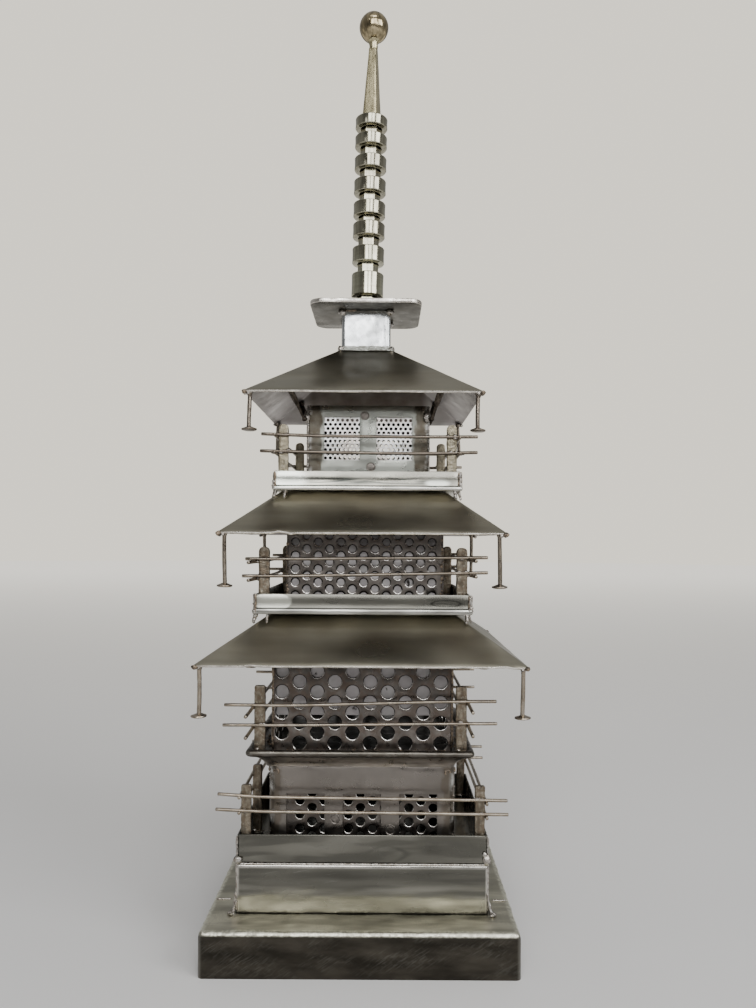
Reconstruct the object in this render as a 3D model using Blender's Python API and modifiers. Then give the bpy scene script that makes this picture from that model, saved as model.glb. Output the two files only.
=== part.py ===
"""Welded steel-sheet model of a three-roofed pagoda on a stepped plinth.

Everything is given in millimetres and turned into metres by MM. The frame stands on
z = 0 with the tower's middle on the Z axis and its front towards -Y.
"""
import math

import bmesh
import bpy
from mathutils import Matrix, Vector

MM = 0.001

# Clearance between pieces that touch, and the thickness of the model's sheet.
GAP = 0.3
SHEET = 1.2

# The model is welded by hand, so some pieces stand a little to one side of the tower's axis.
BASE_SHIFT_X = 0.8
DISH_SHIFT_X = -0.9
SECOND_SHIFT_X = 0.9
THIRD_SHIFT_X = 2.1

# Plinth and podium: width and depth over the flats, top height.
PLINTH_SIZE = (180.0, 180.0)
PLINTH_TOP = 26.0
PLINTH_SHEET = 2.0
PODIUM_SIZE = (148.0, 132.0)
PODIUM_TOP = 54.5
FOLD_INNER_RADIUS = 0.8

# Ground storey.
GROUND_PAN_SIZE = (146.6, 130.6)
GROUND_SKIRT_TOP = 71.6
GROUND_WALL_WIDTH = 111.0
GROUND_WALL_TOP = 108.7
GROUND_WALL_SHEET = 1.5
GROUND_CORNER_RADIUS = 5.0
GROUND_WINDOW_WIDTH = 22.6
GROUND_WINDOW_PITCH = 33.6
GROUND_WINDOW_BOTTOM = 62.0
GROUND_WINDOW_TOP = 92.5

# First storey: a dish with a rolled rim carries it. Its sides flare out to the rim.
DISH_SHEET = 0.8
DISH_FLOOR = 118.0
RIM_CENTRE = (65.0, 118.9)
RIM_RADIUS = 2.05
RIM_FIRST_DEG = 205.0
RIM_LAST_DEG = -105.0
FLARE_CENTRE = (68.5, 103.9)
FLARE_RADIUS = 13.4
FLARE_FIRST_DEG = 120.0
FIRST_WALL_WIDTH = 108.0
FIRST_WALL_TOP = 199.8
FIRST_LINER_BOTTOM = 139.0
PERFORATED_SHEET = 1.0

# Second and third storeys: flat pans with an upright skirt and a lip below it.
SECOND_PAN_WIDTH = 126.6
SECOND_LIP_WIDTH = 129.4
SECOND_LIP_TOP = 203.4
SECOND_SKIRT_TOP = 212.0
SECOND_WALL_WIDTH = 95.2
SECOND_WALL_TOP = 273.2
THIRD_PAN_WIDTH = 110.8
THIRD_LIP_WIDTH = 113.6
THIRD_LIP_TOP = 276.0
THIRD_SKIRT_TOP = 285.0
THIRD_WALL_WIDTH = 76.0
THIRD_WALL_TOP = 326.8
THIRD_WALL_SHEET = 1.5
THIRD_WINDOW_WIDTH = 21.9
THIRD_WINDOW_PITCH = 32.3
THIRD_WINDOW_BOTTOM = 293.1
THIRD_WINDOW_TOP = 319.8
THIRD_CORNER_RADIUS = 2.2
WALL_CORNER_RADIUS = 1.6

# Roofs: half width and height of the eave, and of the top of the slope.
LOWER_ROOF = {"eave_half": 93.0, "eave_z": 174.0, "top_half": 55.0, "top_z": 199.8}
MIDDLE_ROOF = {"eave_half": 82.2, "eave_z": 248.0, "top_half": 49.5, "top_z": 273.2}
UPPER_ROOF = {"eave_half": 70.2, "eave_z": 330.4, "top_half": 17.35, "top_z": 365.5}

# Nails that hang head down under the eave corners.
NAIL_SHANK_RADIUS = 1.3
NAIL_HEAD_RADIUS = 4.7
NAIL_HEAD_THICKNESS = 1.4
NAIL_HEAD_CHAMFER = 0.3
LOWER_NAILS = {"inset": 3.2, "foot": 145.0}
MIDDLE_NAILS = {"inset": 4.0, "foot": 216.7}
UPPER_NAILS = {"inset": 3.6, "foot": 307.2}

# Rods that carry the upper roof on the third storey's corners.
BRACKET_RADIUS = 2.4
BRACKET_FOOT_Z = 318.0
BRACKET_FOOT_HALF = 39.35
BRACKET_HEAD_HALF = 48.4
BRACKET_HEAD_GAP = 1.55

# Railings: flat-bar posts and welding-rod rails. A front rail is given as its height at the left
# and right end, then x at both ends. The rear rails repeat the front ones.
POST_DEPTH = 3.0
RAIL_RADIUS = 1.0
RAIL_BITE = 0.25
SIDE_RAIL_DROP = 1.7
RAILINGS = {
    "ground_railing": {
        "post_x": (-67.7, 69.6), "post_y": 61.5, "post_width": 6.0, "post_foot": 56.3, "post_top": 99.7,
        "post_round": 0.9, "front_rails": ((94.7, 91.7, -84.3, 85.6), (85.7, 83.5, -85.5, 86.2)),
        "side_rails": (-66.0, 84.0), "extra_posts": ((-67.7, -18.0),),
    },
    "first_railing": {
        "post_x": (-60.4, 58.6), "post_y": 59.0, "post_width": 6.6, "post_foot": 118.3, "post_top": 157.6,
        "post_round": 1.2, "front_rails": ((146.4, 149.3, -81.2, 79.2), (134.5, 136.2, -82.1, 79.6)),
        "side_rails": (-87.0, 79.0), "extra_posts": (),
    },
    "second_railing": {
        "post_x": (-58.5, 58.5), "post_y": 57.9, "post_width": 6.6, "post_foot": 203.7, "post_top": 239.6,
        "post_round": 2.8, "front_rails": ((232.4, 233.9, -69.5, 73.7), (222.3, 225.0, -71.4, 73.8)),
        "side_rails": (-79.0, 72.0), "extra_posts": (),
    },
    "third_railing": {
        "post_x": (-48.7, 52.9), "post_y": 48.7, "post_width": 6.2, "post_foot": 276.3, "post_top": 313.5,
        "post_round": 2.6, "front_rails": ((307.4, 306.3, -61.9, 68.4), (297.2, 296.8, -62.6, 68.3)),
        "side_rails": (-63.0, 62.0), "extra_posts": (),
    },
}

# Neck, top plate and spire. The spire leans a little towards +X.
NECK_WIDTH = 31.5
NECK_SHEET = 1.5
NECK_CORNER_RADIUS = 2.4
NECK_TOP = 391.7
TOP_PLATE_SIZE = (71.0, 66.0)
TOP_PLATE_BOTTOM = 392.0
TOP_PLATE_TOP = 395.0
TOP_PLATE_CORNER = 9.0
TOP_PLATE_EDGE = 0.5
SPIRE_LEAN_DEG = 1.1
SPIRE_SEAT = 0.45
STEM_ACROSS_CORNERS = 13.6
STEM_TOP = 522.2
COLLAR_OUTER_RADIUS = 10.6
COLLAR_CHAMFER = 0.7
COLLAR_TOPS = (419.5, 436.7, 452.6, 466.3, 481.3, 496.3, 510.4, 522.4)
COLLAR_HEIGHTS = (15.2, 10.5, 9.3, 9.2, 9.0, 8.4, 7.6, 6.9)
SPIKE_BASE_SIDE = 10.1
SPIKE_TOP_SIDE = 4.8
SPIKE_SHOULDER_Z = 569.0
SPIKE_SHOULDER_HEIGHT = 1.0
SPIKE_TURN_DEG = 20.0
SPIKE_NECK_HALF = 1.9
BALL_RADIUS = 9.65
BALL_CENTRE_Z = 583.3

FINISHES = {
    "plinth_steel": ((0.20, 0.20, 0.18), 0.45),
    "bright_steel": ((0.52, 0.50, 0.48), 0.22),
    "wall_steel": ((0.34, 0.30, 0.27), 0.35),
    "perforated_steel": ((0.16, 0.15, 0.14), 0.40),
    "liner_steel": ((0.40, 0.38, 0.38), 0.50),
    "roof_steel": ((0.19, 0.18, 0.15), 0.38),
    "post_bar": ((0.25, 0.19, 0.13), 0.60),
    "drawn_rod": ((0.45, 0.41, 0.36), 0.30),
    "zinc_steel": ((0.68, 0.70, 0.71), 0.38),
    "turned_steel": ((0.42, 0.39, 0.36), 0.28),
    "ball_steel": ((0.28, 0.25, 0.22), 0.12),
}


def clear_scene():
    """Remove whatever the file held before."""
    for old in list(bpy.data.objects):
        bpy.data.objects.remove(old)


def make_collection(name):
    """A new collection linked to the scene."""
    collection = bpy.data.collections.new(name)
    bpy.context.scene.collection.children.link(collection)
    return collection


def make_materials():
    """One metal for each finish."""
    materials = {}
    for name, (colour, roughness) in FINISHES.items():
        material = bpy.data.materials.new(name)
        material.use_nodes = True
        shader = material.node_tree.nodes["Principled BSDF"]
        shader.inputs["Base Color"].default_value = (*colour, 1.0)
        shader.inputs["Roughness"].default_value = roughness
        shader.inputs["Metallic"].default_value = 1.0
        materials[name] = material
    return materials


clear_scene()
PAGODA = make_collection("pagoda")
CUTTERS = make_collection("cutters")
MATERIALS = make_materials()


def add_object(name, mesh, finish):
    """Put a mesh in the pagoda's collection with its finish."""
    piece = bpy.data.objects.new(name, mesh)
    mesh.materials.append(MATERIALS[finish])
    PAGODA.objects.link(piece)
    return piece


def add_tool(name, mesh, collection):
    """Put a mesh that only cuts or joins another in its own collection."""
    tool = bpy.data.objects.new(name, mesh)
    tool.hide_render = True
    tool.display_type = "WIRE"
    collection.objects.link(tool)
    return tool


def mesh_from(bm, name):
    """Write a bmesh into a new mesh."""
    bmesh.ops.recalc_face_normals(bm, faces=bm.faces)
    mesh = bpy.data.meshes.new(name)
    bm.to_mesh(mesh)
    bm.free()
    return mesh


def box_bmesh(low, high):
    """A box between two corners."""
    bm = bmesh.new()
    bmesh.ops.create_cube(bm, size=1.0)
    size = [(b - a) * MM for a, b in zip(low, high)]
    centre = [(a + b) * MM / 2 for a, b in zip(low, high)]
    bmesh.ops.scale(bm, vec=size, verts=bm.verts)
    bmesh.ops.translate(bm, vec=centre, verts=bm.verts)
    return bm


def edges_along(bm, axis):
    """The edges of a box that run along one axis (0, 1 or 2)."""
    found = []
    for edge in bm.edges:
        run = edge.verts[0].co - edge.verts[1].co
        if abs(run[axis]) > 0.99 * run.length:
            found.append(edge)
    return found


def shift(piece, distance):
    """Set a piece to one side."""
    piece.location.x = distance * MM


def faces_towards(bm, direction):
    """The faces whose normal points along a direction."""
    return [face for face in bm.faces if face.normal.dot(Vector(direction)) > 0.99]


def solidify(piece, thickness):
    """Give an open surface its sheet thickness, inwards."""
    shell = piece.modifiers.new("sheet", "SOLIDIFY")
    shell.thickness = thickness * MM
    shell.offset = -1.0
    shell.use_even_offset = True
    return shell


def round_edges(piece, width, segments=2, angle=40.0):
    """Round the edges sharper than an angle."""
    bevel = piece.modifiers.new("rounded_edges", "BEVEL")
    bevel.width = width * MM
    bevel.segments = segments
    bevel.limit_method = "ANGLE"
    bevel.angle_limit = math.radians(angle)
    return bevel


def smooth(piece, angle=35.0):
    """Shade a round piece smooth, with its real edges sharp."""
    piece.data.shade_smooth()
    piece.data.set_sharp_from_angle(angle=math.radians(angle))


def open_box(name, size, bottom, top, sheet, open_side, finish):
    """A folded sheet box without its lid or its floor."""
    half_x, half_y = size[0] / 2, size[1] / 2
    bm = box_bmesh((-half_x, -half_y, bottom), (half_x, half_y, top))
    bmesh.ops.delete(bm, geom=faces_towards(bm, open_side), context="FACES_ONLY")
    piece = add_object(name, mesh_from(bm, name), finish)
    round_edges(piece, FOLD_INNER_RADIUS + sheet, segments=3)
    solidify(piece, sheet)
    return piece


def square_tube(name, width, bottom, top, sheet, corner, finish):
    """A square tube with rounded corners, open at both ends."""
    half = width / 2
    bm = box_bmesh((-half, -half, bottom), (half, half, top))
    ends = faces_towards(bm, (0, 0, -1)) + faces_towards(bm, (0, 0, 1))
    bmesh.ops.delete(bm, geom=ends, context="FACES_ONLY")
    piece = add_object(name, mesh_from(bm, name), finish)
    round_edges(piece, corner, segments=3)
    solidify(piece, sheet)
    return piece


def arc(centre, radius, first_deg, last_deg, count):
    """Points along an arc in a profile, angles counted from straight outwards."""
    points = []
    for number in range(count):
        angle = math.radians(first_deg + (last_deg - first_deg) * number / (count - 1))
        points.append((centre[0] + radius * math.cos(angle), centre[1] + radius * math.sin(angle)))
    return points


def turn_profile(name, points, steps, finish):
    """Turn a profile about Z. Four steps give a square: then x and y are both the half width."""
    bm = bmesh.new()
    corner = 1.0 if steps == 4 else 0.0
    ring = [bm.verts.new((r * MM, r * corner * MM, z * MM)) for r, z in points]
    for above, below in zip(ring, ring[1:]):
        bm.edges.new((above, below))
    mesh = bpy.data.meshes.new(name)
    bm.to_mesh(mesh)
    bm.free()
    piece = add_object(name, mesh, finish)
    screw = piece.modifiers.new("turned", "SCREW")
    screw.axis = "Z"
    screw.angle = math.tau
    screw.steps = steps
    screw.render_steps = steps
    screw.use_merge_vertices = True
    screw.merge_threshold = 0.00001
    screw.use_smooth_shade = steps > 6
    return piece


def pan(name, width, lip_width, bottom, lip_top, skirt_top, finish):
    """A balcony: a floor plate with an upright skirt round it."""
    half = width / 2
    lip = lip_width / 2
    floor = lip_top - GAP
    points = [
        (0, floor), (half - SHEET, floor), (half - SHEET, skirt_top), (half, skirt_top),
        (half, lip_top), (lip, lip_top), (lip, bottom), (0, bottom),
    ]
    return turn_profile(name, points, 4, finish)


def window_cutters(name, count, width, pitch, bottom, top, reach, shift_x=0.0):
    """Bars that cut a row of windows through all four walls."""
    cutters = bpy.data.collections.new(name)
    CUTTERS.children.link(cutters)
    for number in range(count):
        middle = (number - (count - 1) / 2) * pitch
        low = middle - width / 2
        high = middle + width / 2
        along_y = box_bmesh((low, -reach, bottom), (high, reach, top))
        along_x = box_bmesh((-reach, low, bottom), (reach, high, top))
        shift(add_tool(f"{name}_y{number}", mesh_from(along_y, name), cutters), shift_x)
        shift(add_tool(f"{name}_x{number}", mesh_from(along_x, name), cutters), shift_x)
    return cutters


def boolean_with(piece, collection, operation):
    """Cut or join a piece with every mesh of a collection."""
    cut = piece.modifiers.new(operation.lower(), "BOOLEAN")
    cut.operation = operation
    cut.operand_type = "COLLECTION"
    cut.collection = collection
    return cut


def roof_slope(roof):
    """Rise over run of a roof's slope."""
    return (roof["top_z"] - roof["eave_z"]) / (roof["eave_half"] - roof["top_half"])


def roof_underside(roof, half):
    """Height of a roof's underside at a half width."""
    slope = roof_slope(roof)
    outside = roof["eave_z"] + (roof["eave_half"] - half) * slope
    return outside - SHEET * math.hypot(1.0, slope)


def roof_shell(name, roof, closed):
    """A hipped sheet roof, open below, and closed at the top where it carries the neck."""
    points = [(roof["top_half"], roof["top_z"]), (roof["eave_half"], roof["eave_z"])]
    if closed:
        points.insert(0, (0, roof["top_z"]))
    piece = turn_profile(name, points, 4, "roof_steel")
    solidify(piece, SHEET)
    return piece


def corners():
    """The four corners: a name and the signs of x and y."""
    return (("front_left", -1, -1), ("front_right", 1, -1), ("rear_left", -1, 1), ("rear_right", 1, 1))


def hanging_nails(roof_name, roof, nails):
    """A nail under each corner of a roof, head down."""
    half = roof["eave_half"] - nails["inset"]
    top = roof_underside(roof, half + NAIL_SHANK_RADIUS) - GAP
    foot = nails["foot"]
    head_top = foot + NAIL_HEAD_THICKNESS
    points = [
        (0, top), (NAIL_SHANK_RADIUS, top), (NAIL_SHANK_RADIUS, head_top),
        (NAIL_HEAD_RADIUS, head_top - NAIL_HEAD_CHAMFER), (NAIL_HEAD_RADIUS, foot), (0, foot),
    ]
    for corner, sign_x, sign_y in corners():
        nail = turn_profile(f"{roof_name}_nail_{corner}", points, 12, "drawn_rod")
        nail.location = (sign_x * half * MM, sign_y * half * MM, 0)


def rod(start, end, radius, sides=10):
    """A closed round rod between two points."""
    bm = bmesh.new()
    first = Vector(start) * MM
    run = Vector(end) * MM - first
    bmesh.ops.create_cone(
        bm, cap_ends=True, segments=sides, radius1=radius * MM, radius2=radius * MM, depth=run.length)
    turn = run.to_track_quat("Z", "Y").to_matrix().to_4x4()
    bmesh.ops.transform(bm, matrix=turn, verts=bm.verts)
    bmesh.ops.translate(bm, vec=first + run / 2, verts=bm.verts)
    return bm


def post(x, y, spec):
    """A flat-bar post with a rounded top."""
    half = spec["post_width"] / 2
    low = (x - half, y - POST_DEPTH / 2, spec["post_foot"])
    high = (x + half, y + POST_DEPTH / 2, spec["post_top"])
    bm = box_bmesh(low, high)
    middle = (spec["post_foot"] + spec["post_top"]) / 2 * MM
    top_edges = [edge for edge in edges_along(bm, 1) if edge.verts[0].co.z > middle]
    bmesh.ops.bevel(
        bm, geom=top_edges, offset=spec["post_round"] * MM, segments=3, affect="EDGES", profile=0.5)
    return bm


def railing(name, spec):
    """Posts and crossing rails welded into one frame."""
    bars = bpy.data.collections.new(f"{name}_bars")
    CUTTERS.children.link(bars)
    rail_y = spec["post_y"] + POST_DEPTH / 2 + RAIL_RADIUS - RAIL_BITE
    reach = spec["post_width"] / 2 + RAIL_RADIUS - RAIL_BITE
    for number, (left_z, right_z, left_x, right_x) in enumerate(spec["front_rails"]):
        for side in (-1, 1):
            across = rod((left_x, side * rail_y, left_z), (right_x, side * rail_y, right_z), RAIL_RADIUS)
            rail_x = spec["post_x"][side > 0] + side * reach
            low = (left_z, right_z)[side > 0] - SIDE_RAIL_DROP
            front, rear = spec["side_rails"]
            along = rod((rail_x, front, low), (rail_x, rear, low), RAIL_RADIUS)
            add_tool(f"{name}_across_{number}_{side}", mesh_from(across, name), bars)
            add_tool(f"{name}_along_{number}_{side}", mesh_from(along, name), bars)
    places = [(spec["post_x"][sign_x > 0], sign_y * spec["post_y"]) for _, sign_x, sign_y in corners()]
    places += list(spec["extra_posts"])
    for number, (x, y) in enumerate(places[1:]):
        add_tool(f"{name}_post_{number}", mesh_from(post(x, y, spec), name), bars)
    frame = add_object(name, mesh_from(post(*places[0], spec), name), "post_bar")
    boolean_with(frame, bars, "UNION")


def build_base():
    """Plinth and podium, both folded boxes open below."""
    below = (0, 0, -1)
    open_box("plinth", PLINTH_SIZE, 0, PLINTH_TOP, PLINTH_SHEET, below, "plinth_steel")
    podium = open_box("podium", PODIUM_SIZE, PLINTH_TOP + GAP, PODIUM_TOP, SHEET, below, "bright_steel")
    shift(podium, BASE_SHIFT_X)


def build_ground_storey():
    """Pan, wall with three windows a side, the perforated screen behind it, and the railing."""
    bottom = PODIUM_TOP + GAP
    floor = bottom + SHEET
    balcony = open_box(
        "ground_balcony", GROUND_PAN_SIZE, bottom, GROUND_SKIRT_TOP, SHEET, (0, 0, 1), "bright_steel")
    shift(balcony, BASE_SHIFT_X)
    wall = square_tube(
        "ground_wall", GROUND_WALL_WIDTH, floor + GAP, GROUND_WALL_TOP, GROUND_WALL_SHEET,
        GROUND_CORNER_RADIUS, "wall_steel")
    windows = window_cutters(
        "ground_windows", 3, GROUND_WINDOW_WIDTH, GROUND_WINDOW_PITCH, GROUND_WINDOW_BOTTOM,
        GROUND_WINDOW_TOP, GROUND_WALL_WIDTH)
    boolean_with(wall, windows, "DIFFERENCE")
    screen_width = GROUND_WALL_WIDTH - 2 * (GROUND_WALL_SHEET + GAP)
    square_tube(
        "ground_screen", screen_width, floor + GAP, GROUND_WALL_TOP - GAP, PERFORATED_SHEET,
        GROUND_CORNER_RADIUS, "perforated_steel")


def build_first_storey():
    """A dish with a rolled rim, the perforated wall and the plain liner inside it."""
    foot_rise = (GROUND_WALL_TOP + GAP - FLARE_CENTRE[1]) / FLARE_RADIUS
    flare_last = 180.0 - math.degrees(math.asin(foot_rise))
    profile = [(0, DISH_FLOOR)]
    profile += arc(RIM_CENTRE, RIM_RADIUS, RIM_FIRST_DEG, RIM_LAST_DEG, 7)
    profile += arc(FLARE_CENTRE, FLARE_RADIUS, FLARE_FIRST_DEG, flare_last, 4)
    dish = turn_profile("first_balcony", profile, 4, "wall_steel")
    round_edges(dish, 1.0, segments=2, angle=60.0)
    solidify(dish, DISH_SHEET)
    shift(dish, DISH_SHIFT_X)
    square_tube(
        "first_wall", FIRST_WALL_WIDTH, DISH_FLOOR + GAP, FIRST_WALL_TOP, PERFORATED_SHEET,
        WALL_CORNER_RADIUS, "perforated_steel")
    liner_width = FIRST_WALL_WIDTH - 2 * (PERFORATED_SHEET + GAP)
    square_tube(
        "first_liner", liner_width, FIRST_LINER_BOTTOM, FIRST_WALL_TOP, PERFORATED_SHEET,
        WALL_CORNER_RADIUS, "liner_steel")


def build_second_storey():
    """Pan, perforated wall and liner."""
    bottom = LOWER_ROOF["top_z"] + GAP
    pan("second_balcony", SECOND_PAN_WIDTH, SECOND_LIP_WIDTH, bottom, SECOND_LIP_TOP, SECOND_SKIRT_TOP,
        "bright_steel")
    wall = square_tube(
        "second_wall", SECOND_WALL_WIDTH, SECOND_LIP_TOP, SECOND_WALL_TOP, PERFORATED_SHEET,
        WALL_CORNER_RADIUS, "perforated_steel")
    liner_width = SECOND_WALL_WIDTH - 2 * (PERFORATED_SHEET + GAP)
    liner = square_tube(
        "second_liner", liner_width, SECOND_LIP_TOP, SECOND_WALL_TOP, PERFORATED_SHEET,
        WALL_CORNER_RADIUS, "liner_steel")
    shift(wall, SECOND_SHIFT_X)
    shift(liner, SECOND_SHIFT_X)


def build_third_storey():
    """Pan, wall with two windows a side, the fine mesh behind it, and the roof's rods."""
    bottom = MIDDLE_ROOF["top_z"] + GAP
    balcony = pan(
        "third_balcony", THIRD_PAN_WIDTH, THIRD_LIP_WIDTH, bottom, THIRD_LIP_TOP, THIRD_SKIRT_TOP,
        "bright_steel")
    wall = square_tube(
        "third_wall", THIRD_WALL_WIDTH, THIRD_LIP_TOP, THIRD_WALL_TOP, THIRD_WALL_SHEET,
        THIRD_CORNER_RADIUS, "wall_steel")
    windows = window_cutters(
        "third_windows", 2, THIRD_WINDOW_WIDTH, THIRD_WINDOW_PITCH, THIRD_WINDOW_BOTTOM,
        THIRD_WINDOW_TOP, THIRD_WALL_WIDTH, THIRD_SHIFT_X)
    boolean_with(wall, windows, "DIFFERENCE")
    screen_width = THIRD_WALL_WIDTH - 2 * (THIRD_WALL_SHEET + GAP)
    screen = square_tube(
        "third_screen", screen_width, THIRD_LIP_TOP, THIRD_WALL_TOP - GAP, PERFORATED_SHEET,
        WALL_CORNER_RADIUS, "perforated_steel")
    for piece in (balcony, wall, screen):
        shift(piece, THIRD_SHIFT_X)
    head_z = roof_underside(UPPER_ROOF, BRACKET_HEAD_HALF) - BRACKET_HEAD_GAP
    for corner, sign_x, sign_y in corners():
        foot_x = THIRD_SHIFT_X + sign_x * BRACKET_FOOT_HALF
        foot = (foot_x, sign_y * BRACKET_FOOT_HALF, BRACKET_FOOT_Z)
        head = (sign_x * BRACKET_HEAD_HALF, sign_y * BRACKET_HEAD_HALF, head_z)
        name = f"roof_bracket_{corner}"
        bracket = add_object(name, mesh_from(rod(foot, head, BRACKET_RADIUS, 12), name), "post_bar")
        smooth(bracket)


def build_roofs():
    """The three roofs and the nails under their corners."""
    roof_shell("lower_roof", LOWER_ROOF, closed=False)
    roof_shell("middle_roof", MIDDLE_ROOF, closed=False)
    roof_shell("upper_roof", UPPER_ROOF, closed=True)
    hanging_nails("lower_roof", LOWER_ROOF, LOWER_NAILS)
    hanging_nails("middle_roof", MIDDLE_ROOF, MIDDLE_NAILS)
    hanging_nails("upper_roof", UPPER_ROOF, UPPER_NAILS)


def build_crown():
    """The short tube and the plate that carry the spire."""
    square_tube(
        "neck", NECK_WIDTH, UPPER_ROOF["top_z"] + GAP, NECK_TOP, NECK_SHEET, NECK_CORNER_RADIUS,
        "zinc_steel")
    half_x, half_y = TOP_PLATE_SIZE[0] / 2, TOP_PLATE_SIZE[1] / 2
    bm = box_bmesh((-half_x, -half_y, TOP_PLATE_BOTTOM), (half_x, half_y, TOP_PLATE_TOP))
    bmesh.ops.bevel(
        bm, geom=edges_along(bm, 2), offset=TOP_PLATE_CORNER * MM, segments=6, affect="EDGES", profile=0.5)
    plate = add_object("top_plate", mesh_from(bm, "top_plate"), "bright_steel")
    round_edges(plate, TOP_PLATE_EDGE, segments=2)


def build_spire():
    """Hexagonal stem, its collars, the four-sided spike and the ball, on one leaning axis."""
    axis = bpy.data.objects.new("spire_axis", None)
    axis.location = (0, 0, TOP_PLATE_TOP * MM)
    axis.rotation_euler = (0, math.radians(SPIRE_LEAN_DEG), 0)
    PAGODA.objects.link(axis)

    def above_plate(z):
        return z - TOP_PLATE_TOP

    radius = STEM_ACROSS_CORNERS / 2
    pieces = [turn_hexagon("spire_stem", radius, SPIRE_SEAT, above_plate(STEM_TOP))]
    bore = radius + GAP
    for number, (top, height) in enumerate(zip(COLLAR_TOPS, COLLAR_HEIGHTS), start=1):
        pieces.append(collar(f"spire_collar_{number}", bore, above_plate(top - height), above_plate(top)))
    pieces.append(spike("spire_spike", above_plate))
    pieces.append(ball("spire_ball", above_plate(BALL_CENTRE_Z)))
    for piece in pieces:
        piece.parent = axis


def turn_hexagon(name, radius, bottom, top):
    """A hexagonal bar with one flat to the front."""
    bm = bmesh.new()
    bmesh.ops.create_cone(
        bm, cap_ends=True, segments=6, radius1=radius * MM, radius2=radius * MM, depth=(top - bottom) * MM)
    bmesh.ops.rotate(bm, cent=(0, 0, 0), matrix=Matrix.Rotation(math.radians(30), 3, "Z"), verts=bm.verts)
    bmesh.ops.translate(bm, vec=(0, 0, (top + bottom) * MM / 2), verts=bm.verts)
    return add_object(name, mesh_from(bm, name), "turned_steel")


def collar(name, bore, bottom, top):
    """A turned ring with chamfered rims."""
    chamfer = COLLAR_CHAMFER
    outer = COLLAR_OUTER_RADIUS
    points = [
        (bore, top), (outer - chamfer, top), (outer, top - chamfer), (outer, bottom + chamfer),
        (outer - chamfer, bottom), (bore, bottom), (bore, top),
    ]
    return turn_profile(name, points, 24, "turned_steel")


def spike(name, above_plate):
    """The four-sided taper with a short neck under the ball."""
    base = COLLAR_TOPS[-1] + GAP
    top = BALL_CENTRE_Z - BALL_RADIUS - GAP
    points = [
        (0, above_plate(top)), (SPIKE_NECK_HALF, above_plate(top)),
        (SPIKE_NECK_HALF, above_plate(SPIKE_SHOULDER_Z + SPIKE_SHOULDER_HEIGHT)),
        (SPIKE_TOP_SIDE / 2, above_plate(SPIKE_SHOULDER_Z)),
        (SPIKE_BASE_SIDE / 2, above_plate(base)), (0, above_plate(base)),
    ]
    piece = turn_profile(name, points, 4, "turned_steel")
    piece.rotation_euler = (0, 0, math.radians(SPIKE_TURN_DEG))
    return piece


def ball(name, centre):
    """The finial ball."""
    bm = bmesh.new()
    bmesh.ops.create_uvsphere(bm, u_segments=24, v_segments=14, radius=BALL_RADIUS * MM)
    bmesh.ops.translate(bm, vec=(0, 0, centre * MM), verts=bm.verts)
    piece = add_object(name, mesh_from(bm, name), "ball_steel")
    smooth(piece)
    return piece


build_base()
build_ground_storey()
build_first_storey()
build_second_storey()
build_third_storey()
for railing_name, railing_spec in RAILINGS.items():
    railing(railing_name, railing_spec)
build_roofs()
build_crown()
build_spire()
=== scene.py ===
"""Finishes a welded sheet-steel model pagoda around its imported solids.

Lengths in the code are millimetres on the tower, whose middle stands on the origin. Sides run
anticlockwise seen from above, starting with the front one.
"""

import math
import random

import bmesh
import bpy
from mathutils import Euler, Matrix, Vector, noise


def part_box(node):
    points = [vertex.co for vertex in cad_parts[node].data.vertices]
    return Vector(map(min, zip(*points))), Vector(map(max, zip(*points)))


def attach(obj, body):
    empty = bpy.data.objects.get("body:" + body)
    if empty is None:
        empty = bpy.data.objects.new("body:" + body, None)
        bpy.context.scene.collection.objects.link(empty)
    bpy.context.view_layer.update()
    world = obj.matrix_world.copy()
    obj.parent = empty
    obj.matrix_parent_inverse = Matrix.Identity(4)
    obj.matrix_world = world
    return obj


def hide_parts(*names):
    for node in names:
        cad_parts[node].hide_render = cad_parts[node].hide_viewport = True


bl_info = {
    "name": "Model pagoda",
    "version": (1, 0, 0),
    "blender": (4, 2, 0),
    "location": "View3D > Sidebar > Pagoda",
    "description": "Builds the finished surfaces of a welded sheet-steel model pagoda",
    "category": "Object",
}

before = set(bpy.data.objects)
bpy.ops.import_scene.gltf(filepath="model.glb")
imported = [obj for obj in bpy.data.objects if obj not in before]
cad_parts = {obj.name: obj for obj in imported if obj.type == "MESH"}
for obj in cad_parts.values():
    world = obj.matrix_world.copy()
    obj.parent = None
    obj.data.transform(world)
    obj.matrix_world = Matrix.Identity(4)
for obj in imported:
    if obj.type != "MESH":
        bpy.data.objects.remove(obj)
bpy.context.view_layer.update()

# A millimetre in metres, and the distance in millimetres below which points are merged.
MM = 0.001
MERGE = 0.01

# Thicknesses of the sheets, and the rounding of the perforated tubes' corners.
SHEET = 1.2
WALL_SHEET = 1.5
PLINTH_SHEET = 2.0
DISH_SHEET = 0.8
FINE_SHEET = 1.0
ROLLED_SHEET = 0.4
SCREEN_CORNER = 1.6

# Windows of one side: their middles, width, sill and head, and the rounding of the wall's corners.
WINDOWS = {
    "ground_wall": {"middles": (-33.6, 0.0, 33.6), "width": 22.6, "sill": 62.0, "head": 92.5, "corner": 5.0},
    "third_wall": {"middles": (-16.15, 16.15), "width": 21.9, "sill": 293.1, "head": 319.8, "corner": 2.2},
}

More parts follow.
